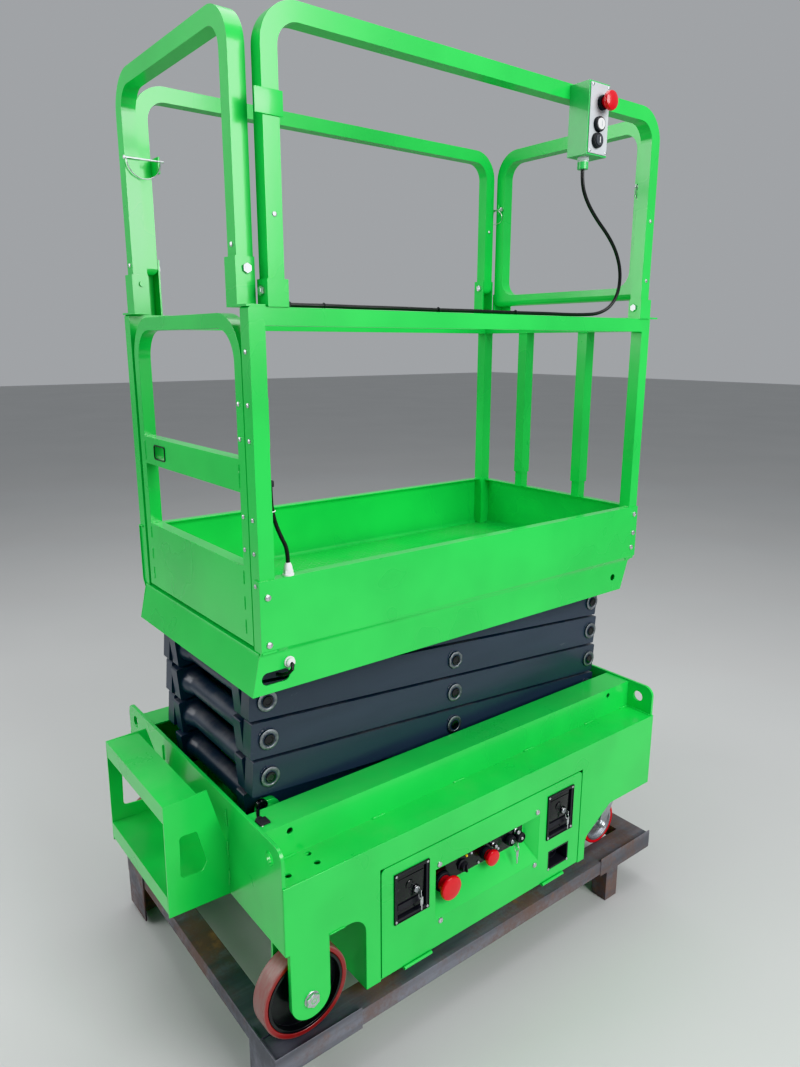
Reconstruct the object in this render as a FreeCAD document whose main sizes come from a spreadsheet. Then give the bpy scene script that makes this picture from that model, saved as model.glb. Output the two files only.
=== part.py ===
"""Small four-level scissor lift standing on its work stand, as a parametric document in millimetres."""
import FreeCAD, Part
import math
import os
import re

import Sketcher

# Driving sizes: name, value in millimetres (degrees for angles), what it measures.
# X runs from the entry end (front, -X) to the caster end (rear, +X), Y across, Z up from the floor.
# The near side, with the control panel, is at -Y.
SIZE_ROWS = [
    ("skin", 4.0, "thickness of the chassis sheets"),
    ("running_gap", 0.08, "radial clearance of a turning fit"),
    ("loose_gap", 0.5, "radial clearance of the inner arms' rear bores"),
    ("seat_gap", 0.3, "clearance between pieces that just rest together"),
    ("wheel_plane", 150.0, "height of the rails that the wheels stand on"),
    ("wheel_radius", 100.0, "front wheel"),
    ("wheel_width", 45.0, "front wheel"),
    ("tread", 12.0, "thickness of the front wheel's tread"),
    ("wheel_inset", 42.0, "middle of the front wheel inside the side skin"),
    ("rim_wall", 7.0, "rim left round the dish of a hub"),
    ("web_half", 6.0, "half of the thickness of a hub's web"),
    ("axle_radius", 10.0, "front axle bolt"),
    ("axle_boss", 14.0, "boss round the front axle's bore"),
    ("head_rim", 4.0, "head of the front axle bolt beyond its shank"),
    ("head_reach", 9.0, "head of the front axle bolt beyond the skin"),
    ("spacer_rim", 8.0, "spacers of the front axle beyond its shank"),
    ("fork_half", 46.0, "half width of the fork plates"),
    ("fork_plate", 8.0, "thickness of the fork plates"),
    ("fork_gap", 7.0, "space between the front wheel and its inner fork plate"),
    ("caster_radius", 62.5, "caster wheel"),
    ("caster_width", 32.0, "caster wheel"),
    ("caster_tread", 9.0, "thickness of the caster's tread"),
    ("caster_boss", 17.0, "boss round the caster's bore"),
    ("caster_axle", 6.0, "caster's axle bolt"),
    ("caster_trail", 38.0, "caster axle behind its swivel axis"),
    ("caster_inset", 77.0, "swivel axis of the casters inside the side skin"),
    ("caster_setback", 95.0, "swivel axis of the casters ahead of the rear end plate"),
    ("caster_gap", 5.0, "space between the caster and its cheeks"),
    ("caster_cheek", 4.0, "thickness of the caster's cheeks"),
    ("caster_eye", 13.0, "half width of a cheek at the axle"),
    ("crown_half", 26.0, "half length of the caster's crown"),
    ("crown_sheet", 5.0, "thickness of the crown and of the mounting plate"),
    ("race_radius", 27.0, "ball race of the swivel"),
    ("race_height", 12.0, "ball race of the swivel"),
    ("mount_half_x", 50.0, "half length of the caster's mounting plate"),
    ("mount_half_y", 42.0, "half width of the caster's mounting plate"),
    ("belly_low", 190.0, "underside of the belly between the wheels"),
    ("rear_low", 321.0, "lower edge of the skin over the casters"),
    ("front_low", 377.0, "lower edge of the skin over the front wheels"),
    ("tub_floor", 401.0, "top of the floor between the inner walls"),
    ("ledge_top", 530.0, "top of the ledge along each side"),
    ("wall_rise", 76.0, "inner wall's flange above the ledge"),
    ("end_rise", 80.0, "end plates above the ledge"),
    ("base_half", 410.0, "half of the chassis width"),
    ("ledge_width", 84.0, "ledge between the skin and the inner wall"),
    ("wall_flange", 76.0, "width of the inner wall's flange"),
    ("front_overhang", 80.0, "front end plate ahead of the front pins"),
    ("rear_overhang", 67.0, "rear end plate behind the lowered rear pins"),
    ("wheel_bay", 193.0, "belly box behind the front end plate"),
    ("caster_bay", 273.0, "belly box ahead of the rear end plate"),
    ("axle_setback", 56.0, "front axle behind the front end plate"),
    ("bay_slope", 100.0, "sloped cut of the skin behind the belly, along the machine"),
    ("bay_step", 64.0, "its lower end above the underside"),
    ("belly_round", 40.0, "rounded corner of the skin ahead of the belly"),
    ("bay_round", 30.0, "rounded corner of the skin behind the belly"),
    ("end_plate", 8.0, "thickness of the two end plates"),
    ("end_corner", 26.0, "corner radius of the end plates"),
    ("lug_hole", 15.0, "radius of the lashing holes in the end plates"),
    ("lug_inset", 50.0, "lashing holes inside the side skin"),
    ("lug_rise", 42.0, "lashing holes above the ledge"),
    ("ledge_hole_rear", 97.0, "paired holes in each ledge behind the front end plate"),
    ("ledge_hole_front", 30.0, "single hole in each ledge behind the front end plate"),
    ("ledge_hole_out", 33.0, "outer holes in each ledge inside the side skin"),
    ("ledge_hole_in", 68.0, "inner hole in each ledge inside the side skin"),
    ("drain_hole", 7.0, "radius of the small holes in the walls and ledges"),
    ("wall_hole_front", 66.0, "hole in each wall behind the front end plate"),
    ("wall_hole_rear", 99.0, "hole in each wall ahead of the rear end plate"),
    ("wall_hole_drop", 19.0, "those holes below the wall's flange"),
    ("door_front_gap", 41.0, "service door behind the belly's front"),
    ("door_rear_gap", 29.0, "service door ahead of the belly's rear"),
    ("door_rise", 5.0, "lower edge of the service doors above the underside"),
    ("door_drop", 65.0, "upper edge of the service doors below the ledge"),
    ("door_gap", 2.5, "gap round the service doors"),
    ("door_corner", 12.0, "corner radius of the service doors"),
    ("latch_inset", 33.0, "latch recess inside the door's edge"),
    ("latch_width", 98.0, "latch recess"),
    ("latch_height", 124.0, "latch recess"),
    ("latch_drop", 26.0, "latch recess below the door's upper edge"),
    ("latch_depth", 26.0, "latch cup behind the door"),
    ("paddle_gap", 5.0, "gap round the latch paddle"),
    ("paddle_height", 24.0, "latch paddle"),
    ("latch_rim", 9.0, "rim of the latch cup"),
    ("socket_inset", 41.0, "charger socket inside the door's rear edge"),
    ("socket_width", 78.0, "charger socket"),
    ("socket_height", 55.0, "charger socket"),
    ("socket_rise", 26.0, "charger socket above the door's lower edge"),
    ("socket_depth", 40.0, "charger socket behind the door"),
    ("socket_rim", 5.0, "rim of the charger socket"),
    ("panel_front_gap", 152.0, "control panel behind the door's front edge"),
    ("panel_rear_gap", 159.0, "control panel ahead of the door's rear edge"),
    ("panel_height", 128.0, "control panel recess"),
    ("panel_drop", 67.0, "control panel recess below the door's upper edge"),
    ("panel_slope", 55.0, "height of the control panel's sloped foot"),
    ("panel_depth", 26.0, "control panel face behind the skin"),
    ("panel_sheet", 3.0, "thickness of the control panel"),
    ("stop_reach", 37.0, "how far the large stop button stands off the skin"),
    ("stop_radius", 23.0, "large stop button"),
    ("stop_drop", 60.0, "large stop button below the panel's top"),
    ("second_reach", 26.0, "how far the small stop button stands off the skin"),
    ("second_radius", 17.0, "small stop button"),
    ("second_drop", 37.0, "small stop button below the panel's top"),
    ("switch_reach", 14.0, "how far the key switch stands off the skin"),
    ("switch_radius", 11.0, "key switch"),
    ("switch_drop", 29.0, "key switch below the panel's top"),
    ("meter_reach", 8.0, "how far the meter stands off the skin"),
    ("meter_radius", 12.0, "meter"),
    ("meter_drop", 25.0, "meter below the panel's top"),
    ("stem_step", 5.0, "stems of the panel's buttons inside the edge of their caps"),
    ("hinge_pin", 4.0, "radius of the service doors' hinge barrels"),
    ("hinge_out", 2.0, "middle of the hinge barrels outside the doors"),
    ("hinge_rise", 0.6, "middle of the hinge barrels above the underside"),
    ("hinge_inset", 60.0, "hinge barrels inside the doors' ends"),
    ("leaf_depth", 16.0, "hinge leaves under the belly"),
    ("hinge_length", 80.0, "hinge barrels of the service doors"),
    ("battery_setback", 60.0, "battery behind the belly's front"),
    ("battery_length", 340.0, "battery"),
    ("battery_gap", 20.0, "battery beside the belly's middle wall"),
    ("battery_width", 175.0, "battery"),
    ("battery_height", 150.0, "battery"),
    ("tank_setback", 90.0, "oil tank ahead of the belly's rear"),
    ("tank_length", 240.0, "oil tank"),
    ("tank_side", 60.0, "inner side of the oil tank from the middle"),
    ("tank_width", 140.0, "oil tank"),
    ("tank_height", 130.0, "oil tank"),
    ("motor_length", 170.0, "pump motor"),
    ("motor_radius", 55.0, "pump motor"),
    ("motor_rise", 66.0, "middle of the pump motor above the belly's floor"),
    ("foot_width", 80.0, "foot under the pump motor"),
    ("foot_height", 20.0, "foot under the pump motor"),
    ("pivot_x", -520.0, "front pins of the scissor"),
    ("pivot_rise", 169.0, "lowest pins above the tub's floor"),
    ("span", 1041.0, "distance between the front and rear pins when lowered"),
    ("arm_height", 80.0, "height of an arm tube"),
    ("level_gap", 6.5, "space between two levels of arms when lowered"),
    ("arm_width", 35.0, "width of an arm tube"),
    ("arm_gap", 6.0, "space between outer and inner arms"),
    ("arm_clearance", 27.0, "space between the outer arms and the wall's flange"),
    ("heel", 40.0, "arm tube beyond its front pin"),
    ("toe", 24.0, "arm tube beyond its rear pin"),
    ("arm_corner", 4.0, "corner radius of the square arm ends"),
    ("pin_radius", 15.0, "scissor pins"),
    ("pin_stub", 5.0, "scissor pins beyond the outer arms"),
    ("ring_rim", 7.0, "retaining rings beyond the pin"),
    ("ring_width", 4.0, "retaining rings"),
    ("tube_radius", 25.0, "cross tubes of the inner arms"),
    ("flare_radius", 34.0, "flared ends of the cross tubes"),
    ("flare_length", 40.0, "flared ends of the cross tubes"),
    ("roller_radius", 24.0, "rollers of the scissor"),
    ("roller_width", 16.0, "rollers of the scissor"),
    ("track_length", 481.0, "rollers' tracks ahead of the lowered rear pins"),
    ("track_sheet", 6.0, "thickness of the rollers' tracks"),
    ("ear_plate", 15.0, "thickness of the fixed pivots' ears"),
    ("ear_inset", 10.0, "fixed pivots' ears inside the outer arms' face"),
    ("ear_rim", 10.0, "ears beyond the pin"),
    ("ear_foot", 45.0, "half length of the fixed pivots' ears at their foot"),
    ("cylinder_front", 200.0, "lower eye of the lift cylinder behind the front pins"),
    ("cylinder_rise", 79.0, "lower eye of the lift cylinder above the tub's floor"),
    ("rod_setback", 94.6, "rod's eye ahead of the lowest inner arm's rear pin"),
    ("barrel_radius", 35.0, "lift cylinder barrel"),
    ("barrel_eye", 26.0, "radius of the barrel's eye"),
    ("barrel_neck", 19.0, "radius of the neck behind the barrel's eye"),
    ("neck_length", 66.0, "barrel tube behind its eye"),
    ("gland_rim", 4.0, "gland of the barrel beyond its tube"),
    ("gland_width", 26.0, "gland of the barrel"),
    ("barrel_short", 150.0, "barrel's end before the rod's eye when lowered"),
    ("rod_radius", 20.0, "lift cylinder rod"),
    ("rod_eye", 19.0, "radius of the rod's eye"),
    ("ear_tip", 24.0, "rod's ears beyond its pin"),
    ("rod_pin", 11.0, "radius of the rod's pins"),
    ("cylinder_pin", 12.0, "radius of the barrel's pin"),
    ("eye_half", 22.0, "half width of the barrel's eye"),
    ("cylinder_foot", 60.0, "half length of the cylinder's ears at their foot"),
    ("cylinder_plate", 10.0, "thickness of the cylinder's ears"),
    ("pin_end", 6.0, "how far the cylinder's pins stand out of their ears"),
    ("ear_tip_half", 20.0, "half height of the rod's ears at their tips"),
    ("ear_root_half", 24.0, "half height of the rod's ears at the cross tube"),
    ("ear_round", 16.0, "corners of the rod's ears"),
    ("port_radius", 9.0, "oil port of the barrel"),
    ("port_reach", 12.0, "oil port beyond the barrel"),
    ("barrel_end", 9.0, "thickness of the barrel's closed end"),
    ("rod_clear", 5.0, "rod's end ahead of the barrel's closed end"),
    ("deck_rise", 50.0, "platform floor above the highest pins"),
    ("deck_overhang", 50.0, "platform ahead of the front pins"),
    ("deck_tail", 2.0, "platform behind the rear end plate"),
    ("deck_inset", 103.0, "platform's side inside the side skin"),
    ("sheet", 3.0, "thickness of the platform sheets"),
    ("rim_rise", 147.0, "top of the toe boards above the floor"),
    ("rim_width", 22.0, "width of the flange on the toe boards"),
    ("fold_half", 9.0, "folds of the skirt above and below the floor"),
    ("fold_in", 12.0, "step of the skirt below its folds"),
    ("skirt_drop", 86.0, "lower edge of the skirt below the floor"),
    ("hem", 20.0, "width of the skirt's lower hem"),
    ("front_lean", 17.0, "lower edge of the front skirt ahead of the platform's front"),
    ("rear_lean", 26.0, "lower edge of the rear skirt ahead of its fold"),
    ("sill_back", 1.0, "front skirt's top behind the platform's front"),
    ("slot_length", 62.0, "cable slot in the side skirts"),
    ("slot_height", 26.0, "cable slot in the side skirts"),
    ("slot_rise", 18.0, "cable slot above the skirt's lower edge"),
    ("slot_back", 4.0, "cable slot behind the platform's front"),
    ("skirt_hole", 9.0, "radius of the round hole at the skirt's rear"),
    ("skirt_hole_front", 75.0, "that hole ahead of the platform's rear"),
    ("skirt_hole_rise", 40.0, "that hole above the skirt's lower edge"),
    ("beam_width", 40.0, "cross beams under the floor"),
    ("beam_height", 16.0, "cross beams under the floor"),
    ("beam_front", 120.0, "front cross beam behind the platform's front end"),
    ("beam_middle", 20.5, "middle cross beam ahead of the arms' middle"),
    ("beam_rear", 160.0, "rear cross beam ahead of the platform's rear end"),
    ("mitre_reach", 40.0, "mitred corners of the rear toe board"),
    ("band_cut", 90.0, "rear skirt cut away at its ends"),
    ("track_clear", 6.0, "lower legs of the upper tracks below their rollers"),
    ("carrier_sheet", 4.0, "thickness of the rollers' upper tracks"),
    ("carrier_end", 48.0, "upper tracks ahead of the platform's rear"),
    ("carrier_gap", 5.0, "space between the rollers and the track's web"),
    ("tube", 32.0, "square guardrail tube"),
    ("rail_corner", 5.0, "corner radius of the middle rails"),
    ("mid_rise", 641.0, "top of the middle rail above the floor"),
    ("upright_half", 96.0, "inner face of the rear uprights from the middle"),
    ("stub_height", 45.0, "narrower foot of the rear uprights"),
    ("loop_height", 489.0, "top of the guardrail loops above the middle rail"),
    ("loop_bend", 75.0, "outer radius of the loops' corners"),
    ("side_front_gap", 45.0, "front post of the side loops behind the platform's front"),
    ("side_rear_gap", 15.0, "rear post of the side loops ahead of the platform's rear"),
    ("end_inset", 42.0, "end loops and the gate inside the platform's side"),
    ("front_loop_gap", 5.0, "outer face of the front loop behind the platform's front"),
    ("rear_loop_out", 24.0, "outer face of the rear loop behind the platform's rear"),
    ("near_rise", 27.0, "hinge of the near loop above the middle rail"),
    ("end_rise_loop", 65.0, "hinge of the front and rear loops above the middle rail"),
    ("far_rise", 103.0, "hinge of the far loop above the middle rail"),
    ("cheek", 4.0, "plate of the loops' hinge brackets"),
    ("cheek_gap", 1.0, "space between a loop's post and its bracket"),
    ("bolt_radius", 6.0, "hinge bolts of the loops"),
    ("bolt_reach", 4.0, "hinge bolts beyond their brackets"),
    ("foot_reach", 30.0, "feet of the rear loop's brackets over the middle rail"),
    ("gate_tube", 28.0, "tube of the entry gate"),
    ("gate_bend", 90.0, "outer radius of the gate's corners"),
    ("gate_rise", 6.0, "lower edge of the entry gate above the floor"),
    ("gate_drop", 8.0, "top of the entry gate below the middle rail's top"),
    ("gate_gap", 2.0, "space between the gate and the toe board's plane"),
    ("panel_top", 156.0, "gate's lower panel above its lower edge"),
    ("pan_top", 146.0, "recess of that panel above the gate's lower edge"),
    ("pan_low", 14.0, "lower end of that recess"),
    ("latch_low", 300.0, "gate's latch bar above its lower edge"),
    ("latch_high", 363.0, "top of the latch bar above the gate's lower edge"),
    ("slot_low", 315.0, "hand slot in the latch bar above the gate's lower edge"),
    ("slot_high", 348.0, "top of that slot"),
    ("slot_near", 120.0, "near end of that slot from the middle"),
    ("slot_far", 182.0, "far end of that slot from the middle"),
    ("gate_leaf", 90.0, "height of a gate hinge"),
    ("leaf_sheet", 2.5, "thickness of the gate hinges' leaves"),
    ("leaf_low", 178.0, "lower gate hinge above the gate's lower edge"),
    ("leaf_high", 388.0, "upper gate hinge above the gate's lower edge"),
    ("knuckle", 4.0, "radius of the gate hinges' knuckles"),
    ("box_gap", 340.0, "upper control box ahead of the near loop's rear post"),
    ("box_length", 68.0, "upper control box, along the rail"),
    ("box_depth", 54.0, "upper control box, across"),
    ("box_height", 146.0, "upper control box"),
    ("box_drop", 4.0, "upper control box below the loop's top"),
    ("face_sheet", 3.0, "face plate of the upper control box and its margin"),
    ("gland_radius", 12.0, "gland under the upper control box"),
    ("gland_reach", 25.0, "gland under the upper control box"),
    ("gland_inset", 23.0, "that gland inside the box's left side"),
    ("box_stop_radius", 20.0, "stop button on the upper control box"),
    ("box_stop_reach", 32.0, "how far that button stands out"),
    ("box_stop_left", 40.0, "that button inside the box's left side"),
    ("box_stop_rise", 106.0, "that button above the box's foot"),
    ("push_radius", 13.0, "push buttons on the upper control box"),
    ("push_reach", 12.0, "how far the push buttons stand out"),
    ("up_left", 31.0, "upper push button inside the box's left side"),
    ("up_rise", 62.0, "upper push button above the box's foot"),
    ("down_left", 27.0, "lower push button inside the box's left side"),
    ("down_rise", 29.0, "lower push button above the box's foot"),
    ("step_half", 172.0, "outer face of the entry step's side plates"),
    ("step_reach", 138.0, "entry step ahead of the front end plate"),
    ("step_plate", 4.0, "thickness of the entry step's side plates"),
    ("step_sheet", 3.0, "thickness of the treads and their lips"),
    ("step_rise", 30.0, "upper tread above the end plate"),
    ("step_lap", 1.0, "entry step's foot above the end plate's lower edge"),
    ("step_shoulder", 128.0, "shoulder of the side plates below the upper tread"),
    ("step_notch", 5.0, "that shoulder ahead of the front end plate"),
    ("step_lip", 40.0, "height of the treads' front lips"),
    ("tread_rise", 52.0, "lower tread above the step's foot"),
    ("stand_out", 7.0, "outer face of the work stand outside the side skins"),
    ("stand_fore", 32.0, "front end of the work stand ahead of the front end plate"),
    ("stand_aft", 20.0, "rear end of the work stand behind the rear end plate"),
    ("rail_height", 40.0, "height of the stand's rails"),
    ("rail_width", 70.0, "width of the stand's rails"),
    ("cross_width", 60.0, "width of the stand's end rails"),
    ("lip_rise", 10.0, "top of the stand's corner lips above the rails"),
    ("lip_height", 54.0, "height of the stand's corner lips"),
    ("lip_length", 222.0, "rear corner lips; the front ones are shorter by the leg inset"),
    ("leg_width", 50.0, "width of the stand's legs"),
    ("leg_inset", 8.0, "legs inside the rails' outer face"),
    ("leg_setback", 178.0, "front face of the rear legs ahead of the stand's rear end"),
    ("leg_plate", 5.0, "thickness of the front legs' end plates"),
    ("leg_plate_width", 110.0, "width of those end plates"),
    ("leg_plate_low", 10.0, "their lower edge above the floor"),
    ("cable_radius", 4.0, "control cable"),
    ("grommet", 13.0, "rubber grommets of the cable, along and across"),
    ("grommet_rise", 11.0, "grommets beyond the tube's face"),
    ("entry_gap", 51.0, "rail grommet behind the near loop's front post"),
    ("entry_inset", 21.0, "rail grommet inside the platform's side"),
    ("exit_inset", 17.0, "post grommet inside the platform's side"),
    ("exit_drop", 321.0, "post grommet below the middle rail's top"),
    ("gland_back", 69.0, "gland behind the platform's front"),
    ("gland_dome", 8.0, "radius of the gland's dome"),
    ("nut_height", 9.0, "nut of the gland"),
    ("gland_height", 25.0, "gland above the toe board"),
]

# Sizes worked out from the driving ones, in order, so that what lines up moves together.
DERIVED_ROWS = [
    ("pitch", "arm_height + level_gap", "height between two scissor levels when lowered"),
    ("pivot_z", "tub_floor + pivot_rise", "lowest front pin"),
    ("deck_pin_z", "pivot_z + 4 * pitch", "highest pins, which carry the platform"),
    ("rear_pin_x", "pivot_x + span", "rear pins when lowered"),
    ("base_front", "pivot_x - front_overhang", "outer face of the front end plate"),
    ("base_rear", "rear_pin_x + rear_overhang", "outer face of the rear end plate"),
    ("belly_front", "base_front + wheel_bay", "front face of the belly box"),
    ("belly_rear", "base_rear - caster_bay", "rear face of the belly box"),
    ("fork_x", "base_front + axle_setback", "front axle, along the machine"),
    ("caster_x", "base_rear - caster_setback", "swivel axis of the casters"),
    ("wheel_y", "base_half - wheel_inset", "middle of the front wheel from the middle"),
    ("caster_y", "base_half - caster_inset", "swivel axis of the casters from the middle"),
    ("wall_half", "base_half - ledge_width", "outer face of the inner wall from the middle"),
    ("flange_edge", "wall_half - wall_flange", "inner edge of the wall's flange from the middle"),
    ("outer_arm_y", "flange_edge - arm_clearance", "outer face of the outer arms from the middle"),
    ("flange_top", "ledge_top + wall_rise", "top of the inner wall's flange"),
    ("end_top", "ledge_top + end_rise", "top of the end plates"),
    ("lug_hole_y", "base_half - lug_inset", "lashing holes from the middle"),
    ("lug_hole_z", "ledge_top + lug_rise", "height of the lashing holes"),
    ("door_front", "belly_front + door_front_gap", "front edge of the service doors"),
    ("door_rear", "belly_rear - door_rear_gap", "rear edge of the service doors"),
    ("door_low", "belly_low + door_rise", "lower edge of the service doors"),
    ("door_top", "ledge_top - door_drop", "upper edge of the service doors"),
    ("latch_top", "door_top - latch_drop", "top of the latch recesses"),
    ("latch_foot", "latch_top - latch_height", "foot of the latch recesses"),
    ("panel_high", "door_top - panel_drop", "top of the control panel"),
    ("panel_foot", "panel_high - panel_height", "foot of the control panel"),
    ("panel_start", "door_front + panel_front_gap", "front end of the control panel"),
    ("panel_end", "door_rear - panel_rear_gap", "rear end of the control panel"),
    ("cylinder_x", "pivot_x + cylinder_front", "lower eye of the lift cylinder"),
    ("cylinder_z", "tub_floor + cylinder_rise", "lower eye of the lift cylinder"),
    ("track_front", "rear_pin_x - track_length", "front end of the rollers' tracks"),
    ("deck_front", "pivot_x - deck_overhang", "front end of the platform"),
    ("deck_rear", "base_rear + deck_tail", "rear end of the platform"),
    ("deck_half", "base_half - deck_inset", "half of the platform width"),
    ("deck_floor", "deck_pin_z + deck_rise", "top of the platform floor"),
    ("rim_top", "deck_floor + rim_rise", "top of the toe boards"),
    ("fold_high", "deck_floor + fold_half", "upper fold of the skirt"),
    ("fold_low", "deck_floor - fold_half", "lower fold of the skirt"),
    ("skirt_low", "deck_floor - skirt_drop", "lower edge of the skirt"),
    ("mid_top", "deck_floor + mid_rise", "top of the middle rail"),
    ("loop_top", "mid_top + loop_height", "top of the guardrail loops"),
    ("side_loop_front", "deck_front + side_front_gap", "front post of the side loops"),
    ("side_loop_rear", "deck_rear - side_rear_gap", "rear post of the side loops"),
    ("end_loop_half", "deck_half - end_inset", "outer face of the end loops and the gate from the middle"),
    ("front_loop_x", "deck_front + front_loop_gap", "outer face of the front loop"),
    ("rear_loop_x", "deck_rear + rear_loop_out", "outer face of the rear loop"),
    ("near_pivot", "mid_top + near_rise", "hinge height of the near loop"),
    ("end_pivot", "mid_top + end_rise_loop", "hinge height of the front and rear loops"),
    ("far_pivot", "mid_top + far_rise", "hinge height of the far loop"),
    ("gate_low", "deck_floor + gate_rise", "lower edge of the entry gate"),
    ("gate_top", "mid_top - gate_drop", "top of the entry gate"),
    ("box_left", "side_loop_rear - box_gap", "front end of the upper control box"),
    ("box_right", "box_left + box_length", "rear end of the upper control box"),
    ("box_high", "loop_top - box_drop", "top of the upper control box"),
    ("box_low", "box_high - box_height", "foot of the upper control box"),
    ("step_front", "base_front - step_reach", "front edge of the entry step"),
    ("step_top", "end_top + step_rise", "upper tread"),
    ("step_low", "front_low + step_lap", "foot of the entry step"),
    ("stand_front", "base_front - stand_fore", "front end of the work stand"),
    ("stand_rear", "base_rear + stand_aft", "rear end of the work stand"),
    ("stand_half", "base_half + stand_out", "outer face of the work stand"),
    ("lip_top", "wheel_plane + lip_rise", "top of the stand's corner lips"),
    ("middle_x", "(step_front + rear_loop_x + cheek + cheek_gap) / 2", "middle of the whole machine along X"),
    ("middle_y", "(stand_half - base_half - stop_reach) / 2", "middle across, stop button included"),
]

SIZES = {name: value for name, value, meaning in SIZE_ROWS}
WORD = re.compile(r"[a-z_][a-z_0-9]*")


def number(text):
    """Work out a formula in size names: sums, products and brackets only."""
    tokens = re.findall(r"[a-z_][a-z_0-9]*|[0-9.]+|[-+*/()]", str(text))

    def factor():
        token = tokens.pop(0)
        if token == "-":
            return -factor()
        if token == "+":
            return factor()
        if token == "(":
            inner = total()
            tokens.pop(0)
            return inner
        return SIZES[token] if token in SIZES else float(token)

    def product():
        result = factor()
        while tokens and tokens[0] in "*/":
            sign = tokens.pop(0)
            other = factor()
            result = result * other if sign == "*" else result / other
        return result

    def total():
        result = product()
        while tokens and tokens[0] in "+-":
            sign = tokens.pop(0)
            other = product()
            result = result + other if sign == "+" else result - other
        return result

    return total()


for name, formula, meaning in DERIVED_ROWS:
    SIZES[name] = number(formula)
SIZES["arm_length"] = math.hypot(SIZES["span"], SIZES["pitch"])
SIZES["rod_reach"] = SIZES["arm_length"] - SIZES["rod_setback"]
ARM_SLOPE = math.atan2(SIZES["pitch"], SIZES["span"])
RAM_RUN = SIZES["pivot_x"] + SIZES["rod_reach"] * math.cos(ARM_SLOPE) - SIZES["cylinder_x"]
RAM_RISE = SIZES["pivot_z"] + SIZES["rod_reach"] * math.sin(ARM_SLOPE) - SIZES["cylinder_z"]
SIZES["ram_reach"] = math.hypot(RAM_RUN, RAM_RISE)
SHEET_ROWS = [(name, SIZES[name], meaning) for name, value, meaning in SIZE_ROWS + DERIVED_ROWS]
SHEET_ROWS.append(("arm_length", SIZES["arm_length"], "scissor arm between its end pins"))
SHEET_ROWS.append(("rod_reach", SIZES["rod_reach"], "place of the rod's eye along the lowest inner arm"))
SHEET_ROWS.append(("ram_reach", SIZES["ram_reach"], "lift cylinder between its eyes when lowered"))

doc = FreeCAD.newDocument("ScissorLift")
sheet = doc.addObject("Spreadsheet::Sheet", "Sizes")
for row, (name, value, meaning) in enumerate(SHEET_ROWS, start=1):
    sheet.set(f"A{row}", name)
    sheet.set(f"B{row}", repr(value))
    sheet.set(f"C{row}", meaning)
    sheet.setAlias(f"B{row}", name)
doc.recompute()

NODES = []
PLACES = {}
PLANES = {"XY": "XY_Plane", "XZ": "XZ_Plane", "YZ": "YZ_Plane"}


def bound(text):
    """Turn a formula in size names into one that reads the sheet."""
    def from_sheet(word):
        return "Sizes." + word.group() if word.group() in SIZES else word.group()
    return WORD.sub(from_sheet, str(text))


def put(part, x="0", y="0", z="0"):
    """Bind where an object stands to formulas."""
    for axis, formula in zip("xyz", (x, y, z)):
        part.setExpression(f"Placement.Base.{axis}", bound(formula))
    PLACES[part.Name] = (x, y, z)
    return part


def keep(part, label):
    """Take an object as the finished sub-part of that name, measured from the middle of the whole machine."""
    x, y, z = PLACES.get(part.Name, ("0", "0", "0"))
    put(part, f"{x} - middle_x", f"{y} - middle_y", z)
    part.Label = label
    NODES.append(part)
    return part


def box(name, low, high):
    """A block between two corners given as formulas."""
    block = doc.addObject("Part::Box", name)
    for prop, start, end in zip(("Length", "Width", "Height"), low, high):
        block.setExpression(prop, bound(f"({end}) - ({start})"))
    return put(block, *low)


TURNS = {
    "x": FreeCAD.Rotation(FreeCAD.Vector(0, 1, 0), 90),
    "y": FreeCAD.Rotation(FreeCAD.Vector(1, 0, 0), -90),
    "z": FreeCAD.Rotation(),
}


def rod(name, axis, centre, radius, low, high):
    """A round bar along an axis; centre holds the other two coordinates in order."""
    bar = doc.addObject("Part::Cylinder", name)
    bar.Placement = FreeCAD.Placement(FreeCAD.Vector(), TURNS[axis])
    bar.setExpression("Radius", bound(radius))
    bar.setExpression("Height", bound(f"({high}) - ({low})"))
    places = list(centre)
    places.insert("xyz".index(axis), low)
    return put(bar, *places)


def fuse(name, parts):
    """Join pieces into one."""
    joined = doc.addObject("Part::MultiFuse", name)
    joined.Shapes = parts
    joined.Refine = True
    return joined


def cut(name, base, tools):
    """Cut pieces out of a base."""
    tool = tools[0] if len(tools) == 1 else fuse(name + "_tools", tools)
    rest = doc.addObject("Part::Cut", name)
    rest.Base = base
    rest.Tool = tool
    rest.Refine = True
    return rest


def mirrored(source, label):
    """A finished sub-part made from its mirror image on the near side."""
    put(source, "-middle_x", "-middle_y")
    copy = doc.addObject("Part::Mirroring", label)
    copy.Source = source
    copy.Normal = FreeCAD.Vector(0, 1, 0)
    copy.setExpression("Base.y", bound("-middle_y"))
    copy.Label = label
    NODES.append(copy)
    return copy


def both_sides(name, piece):
    """A piece together with its mirror image across the machine."""
    other = doc.addObject("Part::Mirroring", name + "_other")
    other.Source = piece
    other.Normal = FreeCAD.Vector(0, 1, 0)
    return fuse(name, [piece, other])


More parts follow.
